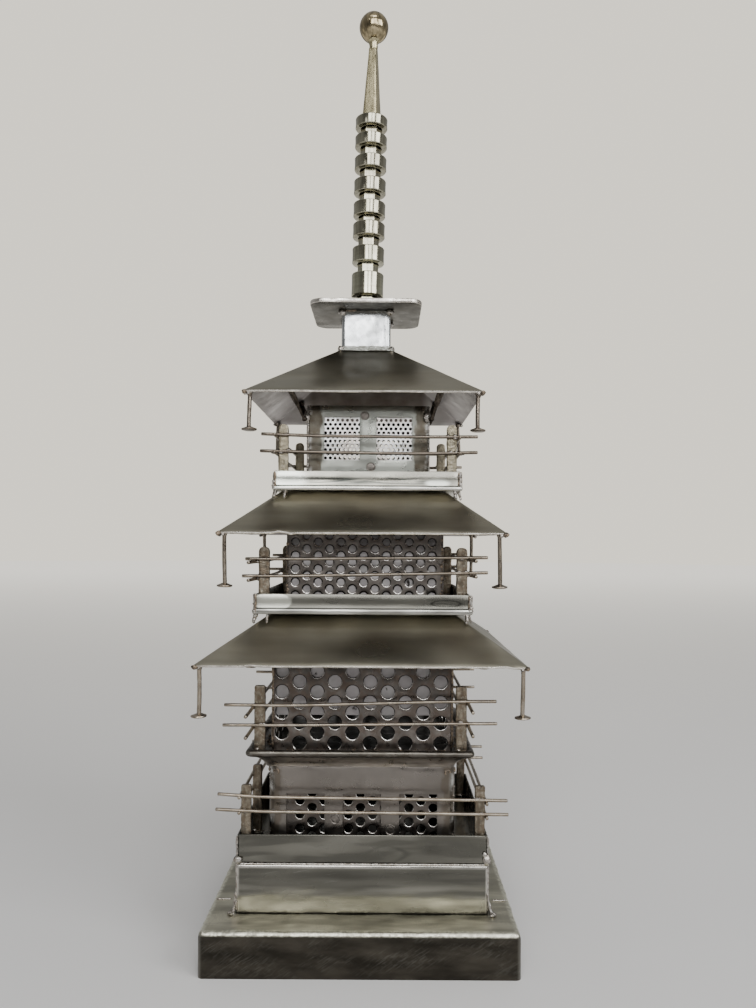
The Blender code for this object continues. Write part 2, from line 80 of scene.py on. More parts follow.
# Perforations of one side, in columns set half a step apart: the lowest hole's place, the distance
# between columns, half the distance between holes, how deep the punch draws their edges, and how many
# mesh cells a hole takes along the side and upwards.
PERFORATIONS = {
    "ground_screen": {"first": (-37.0, 58.66), "pitch": 7.24, "columns": 12, "half_step": 4.18, "lip": 0.55,
                      "cells": (2, 6)},
    "first_wall": {"first": (-48.1, 122.4), "pitch": 10.55, "columns": 10, "half_step": 6.12, "lip": 0.55,
                   "cells": (4, 8)},
    "second_wall": {"first": (-42.14, 206.24), "pitch": 6.89, "columns": 13, "half_step": 4.03, "lip": 0.8,
                    "cells": (2, 6)},
}

# Fine holes behind the third storey's windows: pitch, half the distance between rows, rows, the lowest
# line, a middle column's place, how far from the middle of the side they lie, and their mesh cell.
FINE_PITCH = 3.0
FINE_HALF_STEP = 1.3
FINE_ROWS = 11
FINE_FIRST_Z = 290.7
FINE_COLUMN = 2.5
FINE_REACH = (3.6, 28.7)
FINE_CELL = FINE_PITCH / 4

# Plug welds on each side of a wall: place along the side, height and radius.
PLUG_WELDS = {
    "ground_wall": ((-16.0, 77.6, 3.0), (17.0, 71.3, 3.2)),
    "third_wall": ((-2.0, 320.6, 2.8), (1.8, 289.0, 2.9)),
}

# First balcony's skirt and rolled rim: distance of an arc's middle from the axis, height and radius.
DISH_SKIRT = (68.5, 103.9, 13.4)
DISH_RIM = (65.0, 118.9, 2.05)

# Upper balconies: how far the lip stands out from the skirt, its height, and the places of the two weld
# drips on each side.
LIP_REACH = 1.4
BALCONIES = {
    "second_balcony": {"lip_height": 3.3, "drips": (-55.8, 61.2)},
    "third_balcony": {"lip_height": 2.5, "drips": (-49.1, 52.5)},
}

# Roofs: half width and height of the eave, then of the top of the slope.
ROOFS = {
    "lower_roof": ((93.0, 174.0), (55.0, 199.8)),
    "middle_roof": ((82.2, 248.0), (49.5, 273.2)),
    "upper_roof": ((70.2, 330.4), (17.35, 365.5)),
}

# Dents and torn lips along the front eaves: place, half width and lift.
EAVE_DENTS = {
    "lower_roof": ((-60.5, 4.0, 0.7), (79.0, 5.0, 0.9), (87.5, 2.5, -0.4)),
    "middle_roof": ((-46.6, 5.2, 1.0), (-41.6, 3.0, -0.5)),
}

# Railings: places and sizes of the posts, with any extra post as a place of its own, the front and rear
# ends of the side rails and how far they splay outwards there, and each front rail as a path of (x, z).
RAILINGS = {
    "ground_railing": {
        "post_x": (-67.7, 69.6), "post_y": 61.5, "post_width": 6.0, "post_foot": 56.3, "post_top": 99.7,
        "post_round": 0.9, "side_rails": (-66.0, 84.0), "extra_posts": ((-67.7, -18.0),), "splay": 0.0,
        "front_rails": (
            ((-84.3, 94.7), (-66.0, 93.5), (-47.7, 92.9), (20.0, 92.3), (85.6, 91.7)),
            ((-85.5, 85.7), (-66.0, 84.8), (-47.7, 84.4), (20.0, 84.0), (86.2, 83.5)),
        ),
    },
    "first_railing": {
        "post_x": (-60.4, 58.6), "post_y": 59.0, "post_width": 6.6, "post_foot": 118.3, "post_top": 157.6,
        "post_round": 1.2, "side_rails": (-87.0, 79.0), "extra_posts": (), "splay": 0.0,
        "front_rails": (
            ((-81.2, 146.4), (-42.5, 146.3), (0.0, 147.5), (45.9, 148.9), (79.2, 149.3)),
            ((-82.1, 134.5), (-42.4, 134.6), (0.0, 135.2), (45.9, 135.9), (79.6, 136.2)),
        ),
    },
    "second_railing": {
        "post_x": (-58.5, 58.5), "post_y": 57.9, "post_width": 6.6, "post_foot": 203.7, "post_top": 239.6,
        "post_round": 2.8, "side_rails": (-79.0, 72.0), "extra_posts": (), "splay": 2.2,
        "front_rails": (
            ((-69.5, 232.4), (-37.2, 232.6), (10.0, 233.3), (73.7, 233.9)),
            ((-71.4, 222.3), (-37.1, 222.6), (10.0, 223.6), (73.8, 225.0)),
        ),
    },
    "third_railing": {
        "post_x": (-48.7, 52.9), "post_y": 48.7, "post_width": 6.2, "post_foot": 276.3, "post_top": 313.5,
        "post_round": 2.6, "side_rails": (-63.0, 62.0), "extra_posts": (), "splay": 0.0,
        "front_rails": (
            ((-61.9, 307.4), (-26.6, 306.4), (30.6, 306.1), (68.4, 306.3)),
            ((-62.6, 297.2), (-26.5, 296.6), (30.6, 296.1), (68.3, 296.9)),
        ),
    },
}
POST_DEPTH = 3.0
RAIL_RADIUS = 1.0
RAIL_REACH = 0.75
SIDE_RAIL_DROP = 1.7

# Nails: radius of the shank, how much wider it gets where it is welded to the roof, and the head as
# rings of (radius, height), from its underside up.
NAIL_RADIUS = 1.25
NAIL_FLARE = 0.7
NAIL_HEAD = ((3.6, 0.0), (4.3, 0.25), (4.57, 0.7), (4.4, 1.15), (3.5, 1.4), (1.6, 2.2))

# Spire: the height of its foot and its lean, the collars' radius, bore, tops and heights, the spike, which
# tapers from foot to tip and is turned about its axis, and the ball.
SPIRE_FOOT = 395.0
SPIRE_LEAN_DEG = 1.1
COLLAR_RADIUS = 10.55
COLLAR_BORE = 7.15
COLLARS = (
    (419.5, 15.2), (436.7, 10.5), (452.6, 9.3), (466.3, 9.2),
    (481.3, 9.0), (496.3, 8.4), (510.4, 7.6), (522.4, 6.9),
)
SPIKE_FOOT, SPIKE_FOOT_WIDTH = 522.7, 10.1
SPIKE_TIP, SPIKE_TIP_WIDTH = 569.0, 4.8
SPIKE_TWIST_DEG = -20
BALL_RADIUS = 9.62
BALL_MIDDLE = 583.3

# Stage: soft lights as place and size in metres, power in watts and, where they are tilted, their target.
LIGHTS = {
    "left_pane": ((-0.26, -1.6, 1.18), (0.60, 1.15), 13.0, None),
    "middle_pane": ((0.46, -1.6, 1.18), (0.52, 1.15), 11.0, None),
    "right_pane": ((1.32, -1.07, 1.18), (0.95, 1.15), 18.0, None),
    "skylight": ((0.1, -0.8, 1.9), (0.9, 0.5), 6.0, (0, 0, 0.1)),
    "high_pane": ((-1.3, -1.6, 1.95), (0.5, 0.5), 1.5, (0, 0, 0.54)),
    "low_pane": ((-0.27, -1.3, 0.15), (0.13, 0.11), 0.05, None),
}
FLOOR_RADIUS = 9000

# The camera's place in metres, its roll, its lens in millimetres and the shift of its lens.
CAMERA_PLACE = (0.0123, -0.55, 0.244)
CAMERA_ROLL_DEG = -0.35
CAMERA_LENS = 29.643
CAMERA_SHIFT = (-0.00595, 0.03571)

# The room's brightness from straight down to straight up, and the pale backdrop that the camera sees.
ROOM_LEVELS = ((0.0, 0.40), (0.48, 0.34), (0.60, 0.30), (0.75, 0.34), (0.92, 0.44), (1.0, 0.50))
ROOM_TINT = (1.0, 0.995, 0.98)
BACKDROP = (1.24, 1.17, 1.01)


def span(node):
    """Lowest and highest corner of a CAD node, in millimetres."""
    low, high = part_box(node)
    return low / MM, high / MM


def nodes_with(word):
    """Names of the CAD nodes that hold a word, in alphabetical order."""
    return sorted(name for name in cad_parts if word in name)


def quarter_turn(x, y, quarter):
    """A point turned by quarters of a circle about the origin."""
    return ((x, y), (-y, x), (-x, -y), (y, -x))[quarter]


class Sides:
    """The box of a CAD node, with places on its four upright sides."""

    def __init__(self, node):
        low, high = span(node)
        self.centre = (low + high) / 2
        self.half = (high - low) / 2
        self.bottom = low.z
        self.top = high.z

    def reach(self, quarter):
        """Half the length of a side."""
        return self.half[quarter % 2]

    def point(self, quarter, along, out, z):
        """A point from its place along a side, its distance out from the face and its height."""
        x, y = quarter_turn(along, -self.half[(quarter + 1) % 2] - out, quarter)
        return (x + self.centre.x, y + self.centre.y, z)


# Settings


def size_property(label, text, default, low, high):
    """A length in metres that a user may change."""
    return bpy.props.FloatProperty(
        name=label, description=text, default=default, min=low, max=high, precision=4,
        unit="LENGTH", subtype="DISTANCE")


def colour_property(label, text, value):
    """A colour that a user may change."""
    return bpy.props.FloatVectorProperty(
        name=label, description=text, default=value, size=3, min=0.0, max=1.0, subtype="COLOR")


class PagodaSizes(bpy.types.PropertyGroup):
    """Sizes that a user may change."""

    ground_hole: size_property(
        "Ground screen hole", "Diameter of the holes behind the ground storey's windows",
        0.006, 0.002, 0.0065)
    first_hole: size_property(
        "First storey hole", "Diameter of the holes in the first storey's wall", 0.009, 0.003, 0.0098)
    second_hole: size_property(
        "Second storey hole", "Diameter of the holes in the second storey's wall", 0.006, 0.002, 0.0063)
    third_hole: size_property(
        "Third screen hole", "Diameter of the holes behind the third storey's windows", 0.002, 0.001, 0.0024)
    bead_radius: size_property(
        "Weld bead", "Radius of the weld beads along the seams", 0.0007, 0.0003, 0.0012)
    roof_wave: size_property("Roof wave", "How far the roof sheets wave in and out", 0.0004, 0.0, 0.001)


class PagodaColours(bpy.types.PropertyGroup):
    """Colours that a user may change."""

    mill: colour_property("Mill steel", "Plinth sheet", (0.29, 0.28, 0.225))
    bright: colour_property("Bright steel", "Sheet of podium, balconies and top plate", (0.27, 0.263, 0.228))
    wall: colour_property("Wall steel", "Sheet of the windowed walls and the dish", (0.22, 0.20, 0.18))
    screen: colour_property("Perforated steel", "Sheet of the perforated walls", (0.075, 0.068, 0.062))
    liner: colour_property("Liner steel", "Plain sheet behind the perforated walls", (0.43, 0.415, 0.41))
    roof: colour_property("Roof steel", "Dark sheet of the roofs", (0.235, 0.222, 0.178))
    bar: colour_property("Rusty bar", "Railing posts and brackets", (0.205, 0.18, 0.14))
    rod: colour_property("Drawn rod", "Rails and nails", (0.34, 0.30, 0.245))
    zinc: colour_property("Zinc", "Tube under the top plate", (0.72, 0.74, 0.75))
    turned: colour_property("Turned steel", "Collars, stem and spike", (0.42, 0.405, 0.315))
    ball: colour_property("Ball steel", "Ball on the tip", (0.36, 0.30, 0.185))
    weld: colour_property("Weld metal", "Beads and tacks", (0.42, 0.40, 0.37))
    floor: colour_property("Floor", "Plain pale floor", (0.80, 0.79, 0.78))


# Node trees


class Value:
    """A number in a node tree that takes part in sums and products."""

    def __init__(self, tree, socket):
        self.tree = tree
        self.socket = socket

    def math(self, operation, other=0.0, clamp=False):
        """One step of number maths."""
        return self.tree.value("ShaderNodeMath", {0: self, 1: other}, operation=operation, use_clamp=clamp)

    def __add__(self, other):
        return self.math("ADD", other)

    def __sub__(self, other):
        return self.math("SUBTRACT", other)

    def __rsub__(self, other):
        return self.tree.value("ShaderNodeMath", {0: other, 1: self}, operation="SUBTRACT")

    def __mul__(self, other):
        return self.math("MULTIPLY", other)

    def __abs__(self):
        return self.math("ABSOLUTE")

    def most(self, other):
        """The larger of two values."""
        return self.math("MAXIMUM", other)

    def least(self, other):
        """The smaller of two values."""
        return self.math("MINIMUM", other)

    def spread(self, first, last, low=0.0, high=1.0):
        """Turn values from first to last smoothly into values from low to high."""
        sockets = {"Value": self, "From Min": first, "From Max": last, "To Min": low, "To Max": high}
        return self.tree.value("ShaderNodeMapRange", sockets, interpolation_type="SMOOTHSTEP")

    def near(self, centre, width):
        """One at a centre value, falling to nothing at a distance of width."""
        return abs(self - centre).spread(width, 0.0)


class Tree:
    """A node tree that nodes are added to."""

    def __init__(self, tree):
        self.tree = tree

    def join(self, socket, source):
        """Feed an input from another node's output or a value, or give it a constant."""
        source = source.socket if isinstance(source, Value) else source
        if isinstance(source, bpy.types.NodeSocket):
            self.tree.links.new(source, socket)
        else:
            socket.default_value = source

    def add(self, kind, sockets=None, **settings):
        """Add a node, set it up and join its inputs."""
        node = self.tree.nodes.new(kind)
        for key, value in settings.items():
            setattr(node, key, value)
        for key, source in (sockets or {}).items():
            self.join(node.inputs[key], source)
        return node

    def value(self, kind, sockets, output=0, **settings):
        """Add a node and take one of its outputs as a value."""
        return Value(self, self.add(kind, sockets, **settings).outputs[output])

    def times(self, vector, factor):
        """A vector times a number."""
        return self.add("ShaderNodeVectorMath", {0: vector, "Scale": factor}, operation="SCALE").outputs[0]

    def mix(self, amount, first, second):
        """Blend two colours."""
        sockets = {0: amount}
        for index, colour in ((6, first), (7, second)):
            sockets[index] = colour if isinstance(colour, bpy.types.NodeSocket) else (*colour, 1.0)
        return self.add("ShaderNodeMix", sockets, data_type="RGBA").outputs[2]


class Surface(Tree):
    """A material's node tree, worked in millimetres on the tower, with the base colour so far."""

    def __init__(self, name):
        self.material = bpy.data.materials.new(name)
        self.material.use_nodes = True
        super().__init__(self.material.node_tree)
        self.shader = self.tree.nodes["Principled BSDF"]
        self.base = None
        coordinates = self.add("ShaderNodeTexCoord").outputs["Object"]
        self.place = self.times(coordinates, 1.0 / MM)

    def vector(self, operation, first, second):
        """One step of vector maths."""
        return self.add("ShaderNodeVectorMath", {0: first, 1: second}, operation=operation).outputs[0]

    def cloud(self, size, seed, low=0.0, high=1.0, detail=3.0, edge=0.22):
        """Soft patches; size is their extent in millimetres along x, y and z, or one number for all."""
        extent = (size, size, size) if isinstance(size, (int, float)) else size
        scaled = self.vector("MULTIPLY", self.place, tuple(1.0 / step for step in extent))
        moved = self.vector("ADD", scaled, (seed * 3.7, seed * 5.1, seed * 7.9))
        sockets = {"Vector": moved, "Scale": 1.0, "Detail": detail, "Roughness": 0.55}
        return self.value("ShaderNodeTexNoise", sockets, "Fac").spread(0.5 - edge, 0.5 + edge, low, high)

    def scratches(self, angle_deg, length, width, limit, seed):
        """Thin streaks that lean by an angle on the upright sides, fewer with a higher limit."""
        rotation = (0.0, math.radians(angle_deg), math.radians(angle_deg * 0.7))
        turned = self.add("ShaderNodeMapping", {"Vector": self.place, "Rotation": rotation}).outputs[0]
        scaled = self.vector("MULTIPLY", turned, (1.0 / length, 1.0 / (width * 6.0), 1.0 / width))
        moved = self.vector("ADD", scaled, (seed, seed * 2.3, seed * 4.1))
        sockets = {"Vector": moved, "Scale": 1.0, "Detail": 2.0}
        return self.value("ShaderNodeTexNoise", sockets, "Fac").spread(limit, limit + 0.06)

    def axis(self, name):
        """The place along one axis: X, Y or Z."""
        return self.value("ShaderNodeSeparateXYZ", {0: self.place}, name)

    def away(self, centre, extent):
        """Distance from a place, counted in extents along x, y and z."""
        gap = self.vector("SUBTRACT", self.place, centre)
        gap = self.vector("MULTIPLY", gap, tuple(1.0 / size for size in extent))
        return self.value("ShaderNodeVectorMath", {0: gap}, "Value", operation="LENGTH")

    def spot(self, centre, extent, core):
        """One around a place, fading out from a core share of the extent to the whole of it."""
        return self.away(centre, extent).spread(1.0, core)

    def offsets(self, centre_x=0.0):
        """Distances from an upright axis, along x and along y."""
        return abs(self.axis("X") - centre_x), abs(self.axis("Y"))

    def side(self, centre_x=0.0):
        """Distance from the middle of the side that a point is on, and from the tower's axis."""
        across, along = self.offsets(centre_x)
        return across.least(along), across.most(along)

    def past(self, node):
        """How far a point lies beyond the sides of a CAD node, along x and along y."""
        box = Sides(node)
        across, along = self.offsets(box.centre.x)
        return across - box.half.x, along - box.half.y

    def start(self, amount, first, second):
        """Begin the base colour as a blend of two."""
        self.base = self.mix(amount, first, second)

    def lay(self, amount, colour):
        """Lay a colour over the base colour."""
        self.base = self.mix(amount, self.base, colour)

    def finish(self, roughness, *bumps, metallic=1.0):
        """Join colour, roughness and bumps, each bump a height value and its size in millimetres."""
        inputs = self.shader.inputs
        self.join(inputs["Metallic"], metallic)
        self.join(inputs["Base Color"], self.base)
        self.join(inputs["Roughness"], roughness)
        normal = None
        for height, size in bumps:
            sockets = {"Height": height, "Distance": size * MM, "Strength": 1.0}
            if normal is not None:
                sockets["Normal"] = normal
            normal = self.add("ShaderNodeBump", sockets).outputs[0]
        if normal is not None:
            self.join(inputs["Normal"], normal)


def shade(colour, factor):
    """A darker or lighter colour."""
    return tuple(min(1.0, channel * factor) for channel in colour)


def shades(colour, *factors):
    """Several shades of a colour."""
    return [shade(colour, factor) for factor in factors]


# Finishes


def mill_steel(surface, colours):
    """Dark mill sheet with patches of diagonal scratches. The top is painted lighter and the sides darker as
    light and shade, painted highlights run along its ground, welded top edge and up its corners, and a
    painted shadow rings the podium's foot.
    """
    cloud, spot, height = surface.cloud, surface.spot, surface.axis("Z")
    plinth = Sides("plinth")
    top = surface.mix(cloud((70, 26, 9), 1), *shades(colours.mill, 1.4, 2.5))
    top = surface.mix(cloud((44, 10, 9), 2, 0.0, 0.55, edge=0.12), top, shade(colours.mill, 0.8))
    side = surface.mix(cloud((32, 32, 9), 9), (0.030, 0.027, 0.022), (0.077, 0.069, 0.056))
    # Painted light and shade: a lighter copy of the mill colour on the top, a darker one on the sides.
    surface.start(height.spread(plinth.top - 0.4, plinth.top - 2.5), top, side)

    marks = surface.scratches(34, 16, 0.5, 0.53, 3).most(surface.scratches(-41, 12, 0.4, 0.56, 4) * 0.5)
    worn = spot((-62, -90, 8), (26, 40, 9), 0.2).most(spot((26, -90, 12), (34, 40, 9), 0.2))
    marks = marks * worn.most(cloud((30, 30, 12), 10, -0.5, 1.0, edge=0.16).most(0.0))
    surface.lay(marks * 0.2, (0.24, 0.235, 0.21))

    # Painted highlights: a bright band along the ground top edge, a fainter one up the corners.
    corner, across = surface.side()
    ground = height.spread(plinth.top - 3.0, plinth.top - 1.4)
    ground = ground * across.spread(plinth.half.x - 4.4, plinth.half.x - 2.2)
    surface.lay(ground * cloud((2.4, 2.4, 1.6), 5, 0.25, 1.1, edge=0.16), (0.78, 0.77, 0.64))
    surface.lay(corner.spread(plinth.half.x - 2.8, plinth.half.x - 0.4) * 0.5, (0.30, 0.29, 0.26))
    # Painted shadow: a dark ring on the plinth round the podium's foot.
    beyond_x, beyond_y = surface.past("podium")
    foot = beyond_x.most(beyond_y) + cloud(6, 18, -0.7, 0.7)
    surface.lay(foot.near(0.4, 1.3) * 0.85, (0.02, 0.018, 0.014))
    surface.finish(cloud((14, 14, 5), 6, 0.30, 0.48), (cloud(11, 7, detail=2.0), 0.10), (marks, 0.006),
                   (cloud((18, 18, 0.5), 8, detail=2.0), 0.010))


def podium_steel(surface, colours):
    """Polished sheet, darker above and lighter towards its foot as a painted reflection, with painted
    highlights along its folded edges.
    """
    cloud, height = surface.cloud, surface.axis("Z")
    top = Sides("podium").top
    # Painted reflection: darker above, lighter towards the foot.
    dark = surface.mix(cloud((50, 50, 5), 12, detail=1.5), *shades(colours.bright, 0.34, 0.56))
    pale = surface.mix(cloud((40, 40, 6), 13), *shades(colours.bright, 0.75, 1.1))
    level = height + cloud((50, 50, 5), 11, -4.0, 4.0, detail=1.5)
    surface.start(level.spread(top - 12.0, top - 20.5), dark, pale)
    # Painted highlights along the folded top edge and the corners.
    beyond_x, beyond_y = surface.past("podium")
    fold_highlight = height.spread(top - 2.9, top - 1.3).most(beyond_x.least(beyond_y).spread(-2.6, -1.2))
    surface.lay(fold_highlight * cloud((26, 26, 9), 14, 0.45, 1.0), (0.60, 0.58, 0.53))
    marks = surface.scratches(8, 34, 0.3, 0.67, 15)
    surface.lay(marks * 0.3, (0.40, 0.39, 0.36))
    surface.finish(cloud((34, 34, 9), 16, 0.18, 0.30, detail=1.0),
                   (cloud((24, 24, 10), 17, detail=1.0), 0.25), (marks, 0.006))


def ground_pan_steel(surface, colours):
    """Dull polished skirt with soft dark clouds and dark zigzag veins painted in as a reflection."""
    cloud = surface.cloud
    surface.start(cloud((40, 40, 12), 171, detail=1.0), *shades(colours.bright, 0.50, 0.78))
    surface.lay(cloud((42, 42, 6), 172, 0.0, 0.8, detail=1.5, edge=0.07), shade(colours.bright, 0.38))
    # Painted reflection: dark zigzag veins.
    reflection_veins = cloud((26, 26, 12), 173, detail=0.0, edge=0.3).near(0.5, 0.16)
    surface.lay(reflection_veins * cloud((30, 30, 16), 174, 0.0, 0.6, edge=0.12), shade(colours.bright, 0.26))
    surface.finish(cloud((24, 24, 9), 176, 0.18, 0.30, detail=1.0),
                   (cloud((20, 20, 9), 175, detail=1.0), 0.3))


def second_pan_steel(surface, colours):
    """Mid-grey polished skirt, brighter at one end, with a dark loop at the other, a painted highlight on its
    lip and painted shade in the crease above the lip.
    """
    cloud, height = surface.cloud, surface.axis("Z")
    lip = Sides("second_balcony").bottom + BALCONIES["second_balcony"]["lip_height"] + 0.2
    surface.start(cloud((40, 40, 30), 181, detail=1.0), *shades(colours.bright, 0.50, 0.62))
    loop = surface.away((49.0, -63.3, 206.8), (9.4, 8.0, 2.0)).near(0.9, 0.16)
    surface.lay(loop * 0.9, (0.035, 0.035, 0.03))
    bright_patch = surface.away((-53.0, -63.3, 207.4), (12.0, 12.0, 5.4)) + cloud(9, 182, -0.12, 0.12)
    surface.lay(bright_patch.spread(1.0, 0.85), (0.50, 0.50, 0.44))
    # Painted highlight on the lip, and painted shade along the crease where the lip meets the skirt.
    rim = height.spread(lip, lip - 0.7) * cloud((26, 26, 3), 183, 0.2, 1.0, detail=1.0)
    surface.lay(rim, (0.55, 0.54, 0.50))
    surface.lay(height.near(lip, 0.7), (0.02, 0.02, 0.018))
    surface.finish(cloud((30, 30, 14), 187, 0.24, 0.34, detail=1.0),
                   (cloud((40, 40, 14), 185, detail=1.0), 0.12), (cloud((2.4, 2.4, 1.6), 186), 0.004))


def third_pan_steel(surface, colours):
    """Bright skirt with wavy dark streaks along its lower half as a painted reflection, a painted highlight
    on its lip and painted shade in the crease above the lip.
    """
    cloud, spot, height = surface.cloud, surface.spot, surface.axis("Z")
    lip = Sides("third_balcony").bottom + BALCONIES["third_balcony"]["lip_height"] + 0.2
    surface.start(cloud((26, 26, 6), 191, detail=1.5), *shades(colours.bright, 0.85, 1.35))
    # Painted reflection: wavy dark streaks along the lower half.
    streaks = cloud((44, 44, 4), 192, detail=1.5, edge=0.3).near(0.5, 0.22) * height.near(lip + 3.0, 3.6)
    across, _ = surface.offsets(4.0)
    surface.lay(streaks * across.spread(46.0, 30.0), (0.05, 0.056, 0.052))
    left_end = spot((-47.0, -55.4, 280.0), (16.0, 12.0, 9.0), 0.5)
    right_end = spot((44.0, -55.4, 278.0), (9.0, 9.0, 3.0), 0.5)
    surface.lay(left_end.most(right_end), (0.60, 0.62, 0.56))
    # Painted highlight on the lip, and painted shade along the crease where the lip meets the skirt.
    surface.lay(height.spread(lip, lip - 0.8) * cloud((14, 14, 3), 193, 0.45, 1.0), (0.66, 0.65, 0.60))
    surface.lay(height.near(lip, 0.6), (0.02, 0.022, 0.02))
    surface.finish(cloud((24, 24, 6), 197, 0.20, 0.32, detail=1.0),
                   (cloud((30, 30, 10), 195, detail=1.0), 0.15), (cloud((2.2, 2.2, 1.4), 196), 0.005))


def plate_steel(surface, colours):
    """Grey-brown top plate with a few dark specks."""
    cloud = surface.cloud
    surface.start(cloud((22, 22, 9), 201), *shades(colours.bright, 0.29, 0.45))
    surface.lay(cloud((14, 14, 9), 205, 0.15, 0.5), (0.115, 0.10, 0.07))
    surface.lay(cloud(3, 202, -4.0, 0.8, edge=0.25).most(0.0), (0.07, 0.06, 0.05))
    surface.finish(cloud(9, 203, 0.26, 0.42), (cloud(12, 204), 0.1))


def tinted_wall(surface, node, colour, tint, band):
    """Semi-gloss sheet with brown heat tint beside the welded corners, over a band of that width, and a
    painted highlight close to each corner.
    """
    cloud = surface.cloud
    box = Sides(node)
    middle, _ = surface.side(box.centre.x)
    from_corner = box.half.x - middle
    surface.start(cloud(24, 21), *shades(colour, 0.88, 1.12))
    burn = (from_corner + cloud((6, 6, 10), 22, -1.6, 1.6)).spread(band + 1.2, band - 1.2)
    surface.lay(burn * cloud(5, 26, tint * 0.8, tint), shade((0.115, 0.095, 0.07), 1.7 - tint))
    # Painted highlight close to each corner.
    bright_patch = from_corner.near(1.6, 2.6) * cloud((9, 9, 8), 29, -0.6, 1.0).most(0.0)
    surface.lay(bright_patch, (0.60, 0.60, 0.58))
    surface.finish(cloud((12, 12, 7), 23, 0.24, 0.42), (cloud((22, 22, 16), 24, detail=1.0), 0.20),
                   (cloud((0.6, 0.6, 16), 25, detail=2.0), 0.008))


def ground_wall_steel(surface, colours):
    """Grey-brown wall sheet of the ground storey."""
    tinted_wall(surface, "ground_wall", shade(colours.wall, 0.9), 0.7, 7.0)


def third_wall_steel(surface, colours):
    """Brighter wall sheet of the third storey."""
    tinted_wall(surface, "third_wall", (0.335, 0.345, 0.31), 0.98, 9.3)


def dish_steel(surface, colours):
    """Dark spotted dish sheet. Its lower flare is a lighter copy as a painted reflection, and a painted
    highlight runs along its rolled rim.
    """
    cloud, height = surface.cloud, surface.axis("Z")
    surface.start(cloud(18, 31), *shades(colours.wall, 0.3, 0.62))
    surface.lay(cloud(5, 32, 0.0, 0.7, edge=0.1), (0.045, 0.035, 0.026))
    # Painted reflection: a lighter copy of the wall colour on the lower flare.
    flare_reflection = surface.mix(cloud((34, 34, 4), 36), *shades(colours.wall, 1.0, 2.6))
    surface.lay(height.spread(116.8, 115.2), flare_reflection)
    # Painted highlight along the rolled rim.
    surface.lay(height.near(119.6, 1.8) * cloud((20, 20, 6), 35, 0.3, 1.0) * 0.6, (0.24, 0.225, 0.19))
    surface.finish(cloud(6, 33, 0.25, 0.46), (cloud(9, 34), 0.12))


def screen_steel(surface, colour, low, high, brown, seed):
    """Perforated sheet. low and high are each a height and its brightness, which sets the sheet's tone
    and paints light and shade that change with height; brown is how strong the brown patches get."""
    cloud = surface.cloud
    # Painted light and shade: the brightness changes from the low height's level to the high one's.
    rise = surface.axis("Z").spread(low[0], high[0])
    dark = surface.mix(rise, *shades(colour, 0.7 * low[1], 0.7 * high[1]))
    pale = surface.mix(rise, *shades(colour, 1.35 * low[1], 1.35 * high[1]))
    surface.start(cloud(15, seed), dark, pale)
    surface.lay(cloud(5, seed + 1, 0.0, brown, edge=0.14), (0.10, 0.068, 0.050))
    surface.finish(cloud(4, seed + 2, 0.24, 0.44), (cloud(12, seed + 3, detail=1.0), 0.10),
                   (cloud(0.7, seed + 4), 0.010))


def ground_screen_steel(surface, colours):
    """Perforated sheet behind the ground storey's windows."""
    screen_steel(surface, colours.screen, (60.0, 1.3), (90.0, 1.7), 0.3, 41)


def first_screen_steel(surface, colours):
    """Dark perforated sheet of the first storey."""
    screen_steel(surface, colours.screen, (126.0, 2.3), (172.0, 1.0), 0.5, 46)


def second_screen_steel(surface, colours):
    """Perforated sheet of the second storey."""
    screen_steel(surface, colours.screen, (205.0, 2.8), (245.0, 2.1), 0.25, 51)


def third_screen_steel(surface, colours):
    """Bright perforated sheet behind the third storey's windows."""
    screen_steel(surface, colours.screen, (290.0, 12.0), (320.0, 12.8), 0.0, 56)


def liner_sheet(surface, colours):
    """Plain grey sheet behind the perforated walls, dark in places, darker over the first storey, with
    painted shade under the eaves.
    """
    cloud, height = surface.cloud, surface.axis("Z")
    surface.start(cloud(20, 61), *shades(colours.liner, 0.8, 1.2))
    surface.lay(cloud((9, 9, 18), 62, 0.0, 0.35), (0.36, 0.31, 0.33))
    # Painted shade under the eaves; the first storey's liner is darker throughout.
    dim = height.spread(201.0, 200.0, 0.0, 0.36).most(height.spread(236.0, 244.0, 0.0, 0.7))
    spots = cloud((6, 6, 8), 66, -7.0, 1.6, edge=0.3).most(0.0).math("MULTIPLY", 0.8, clamp=True)
    surface.lay(dim.most(spots), (0.03, 0.027, 0.024))
    surface.finish(cloud(8, 63, 0.42, 0.6), (cloud(14, 64, detail=1.0), 0.15),
                   (cloud((0.5, 0.5, 12), 65), 0.008))


def roof_sheet(surface, colours):
    """Dark olive-brown sheet with soft clouds, painted light and shade that change with height, painted
    highlights along the hips, and handling marks.
    """
    cloud, height = surface.cloud, surface.axis("Z")
    level = cloud((80, 80, 26), 71, 0.40, 0.56, detail=1.0) + cloud((70, 40, 9), 77, -0.08, 0.12, detail=1.0)
    level = level + cloud((34, 14, 5), 84, -0.05, 0.05, edge=0.2)
    # Painted light and shade: each roof is lighter or darker at set heights.
    level = level + height.near(268.0, 14.0) * 0.22 + height.near(186.0, 22.0) * 0.26
    level = level.math("SUBTRACT", height.spread(340.0, 362.0) * 0.10, clamp=True)
    surface.start(level, *shades(colours.roof, 0.4, 2.1))
    surface.lay(cloud((26, 26, 30), 72, 0.0, 0.25, detail=1.5), (0.20, 0.16, 0.11))
    # Painted highlights along the hips.
    middle, outer = surface.side()
    surface.lay((outer - middle).spread(1.6, 0.0) * 0.35, (0.40, 0.38, 0.31))
    surface.lay(surface.scratches(68, 30, 0.3, 0.68, 73) * 0.15, (0.42, 0.40, 0.34))
    surface.finish(cloud((50, 50, 26), 74, 0.27, 0.40, detail=1.0),
                   (cloud((40, 40, 26), 75, detail=1.0), 0.5), (cloud(0.8, 76, detail=2.0), 0.006))


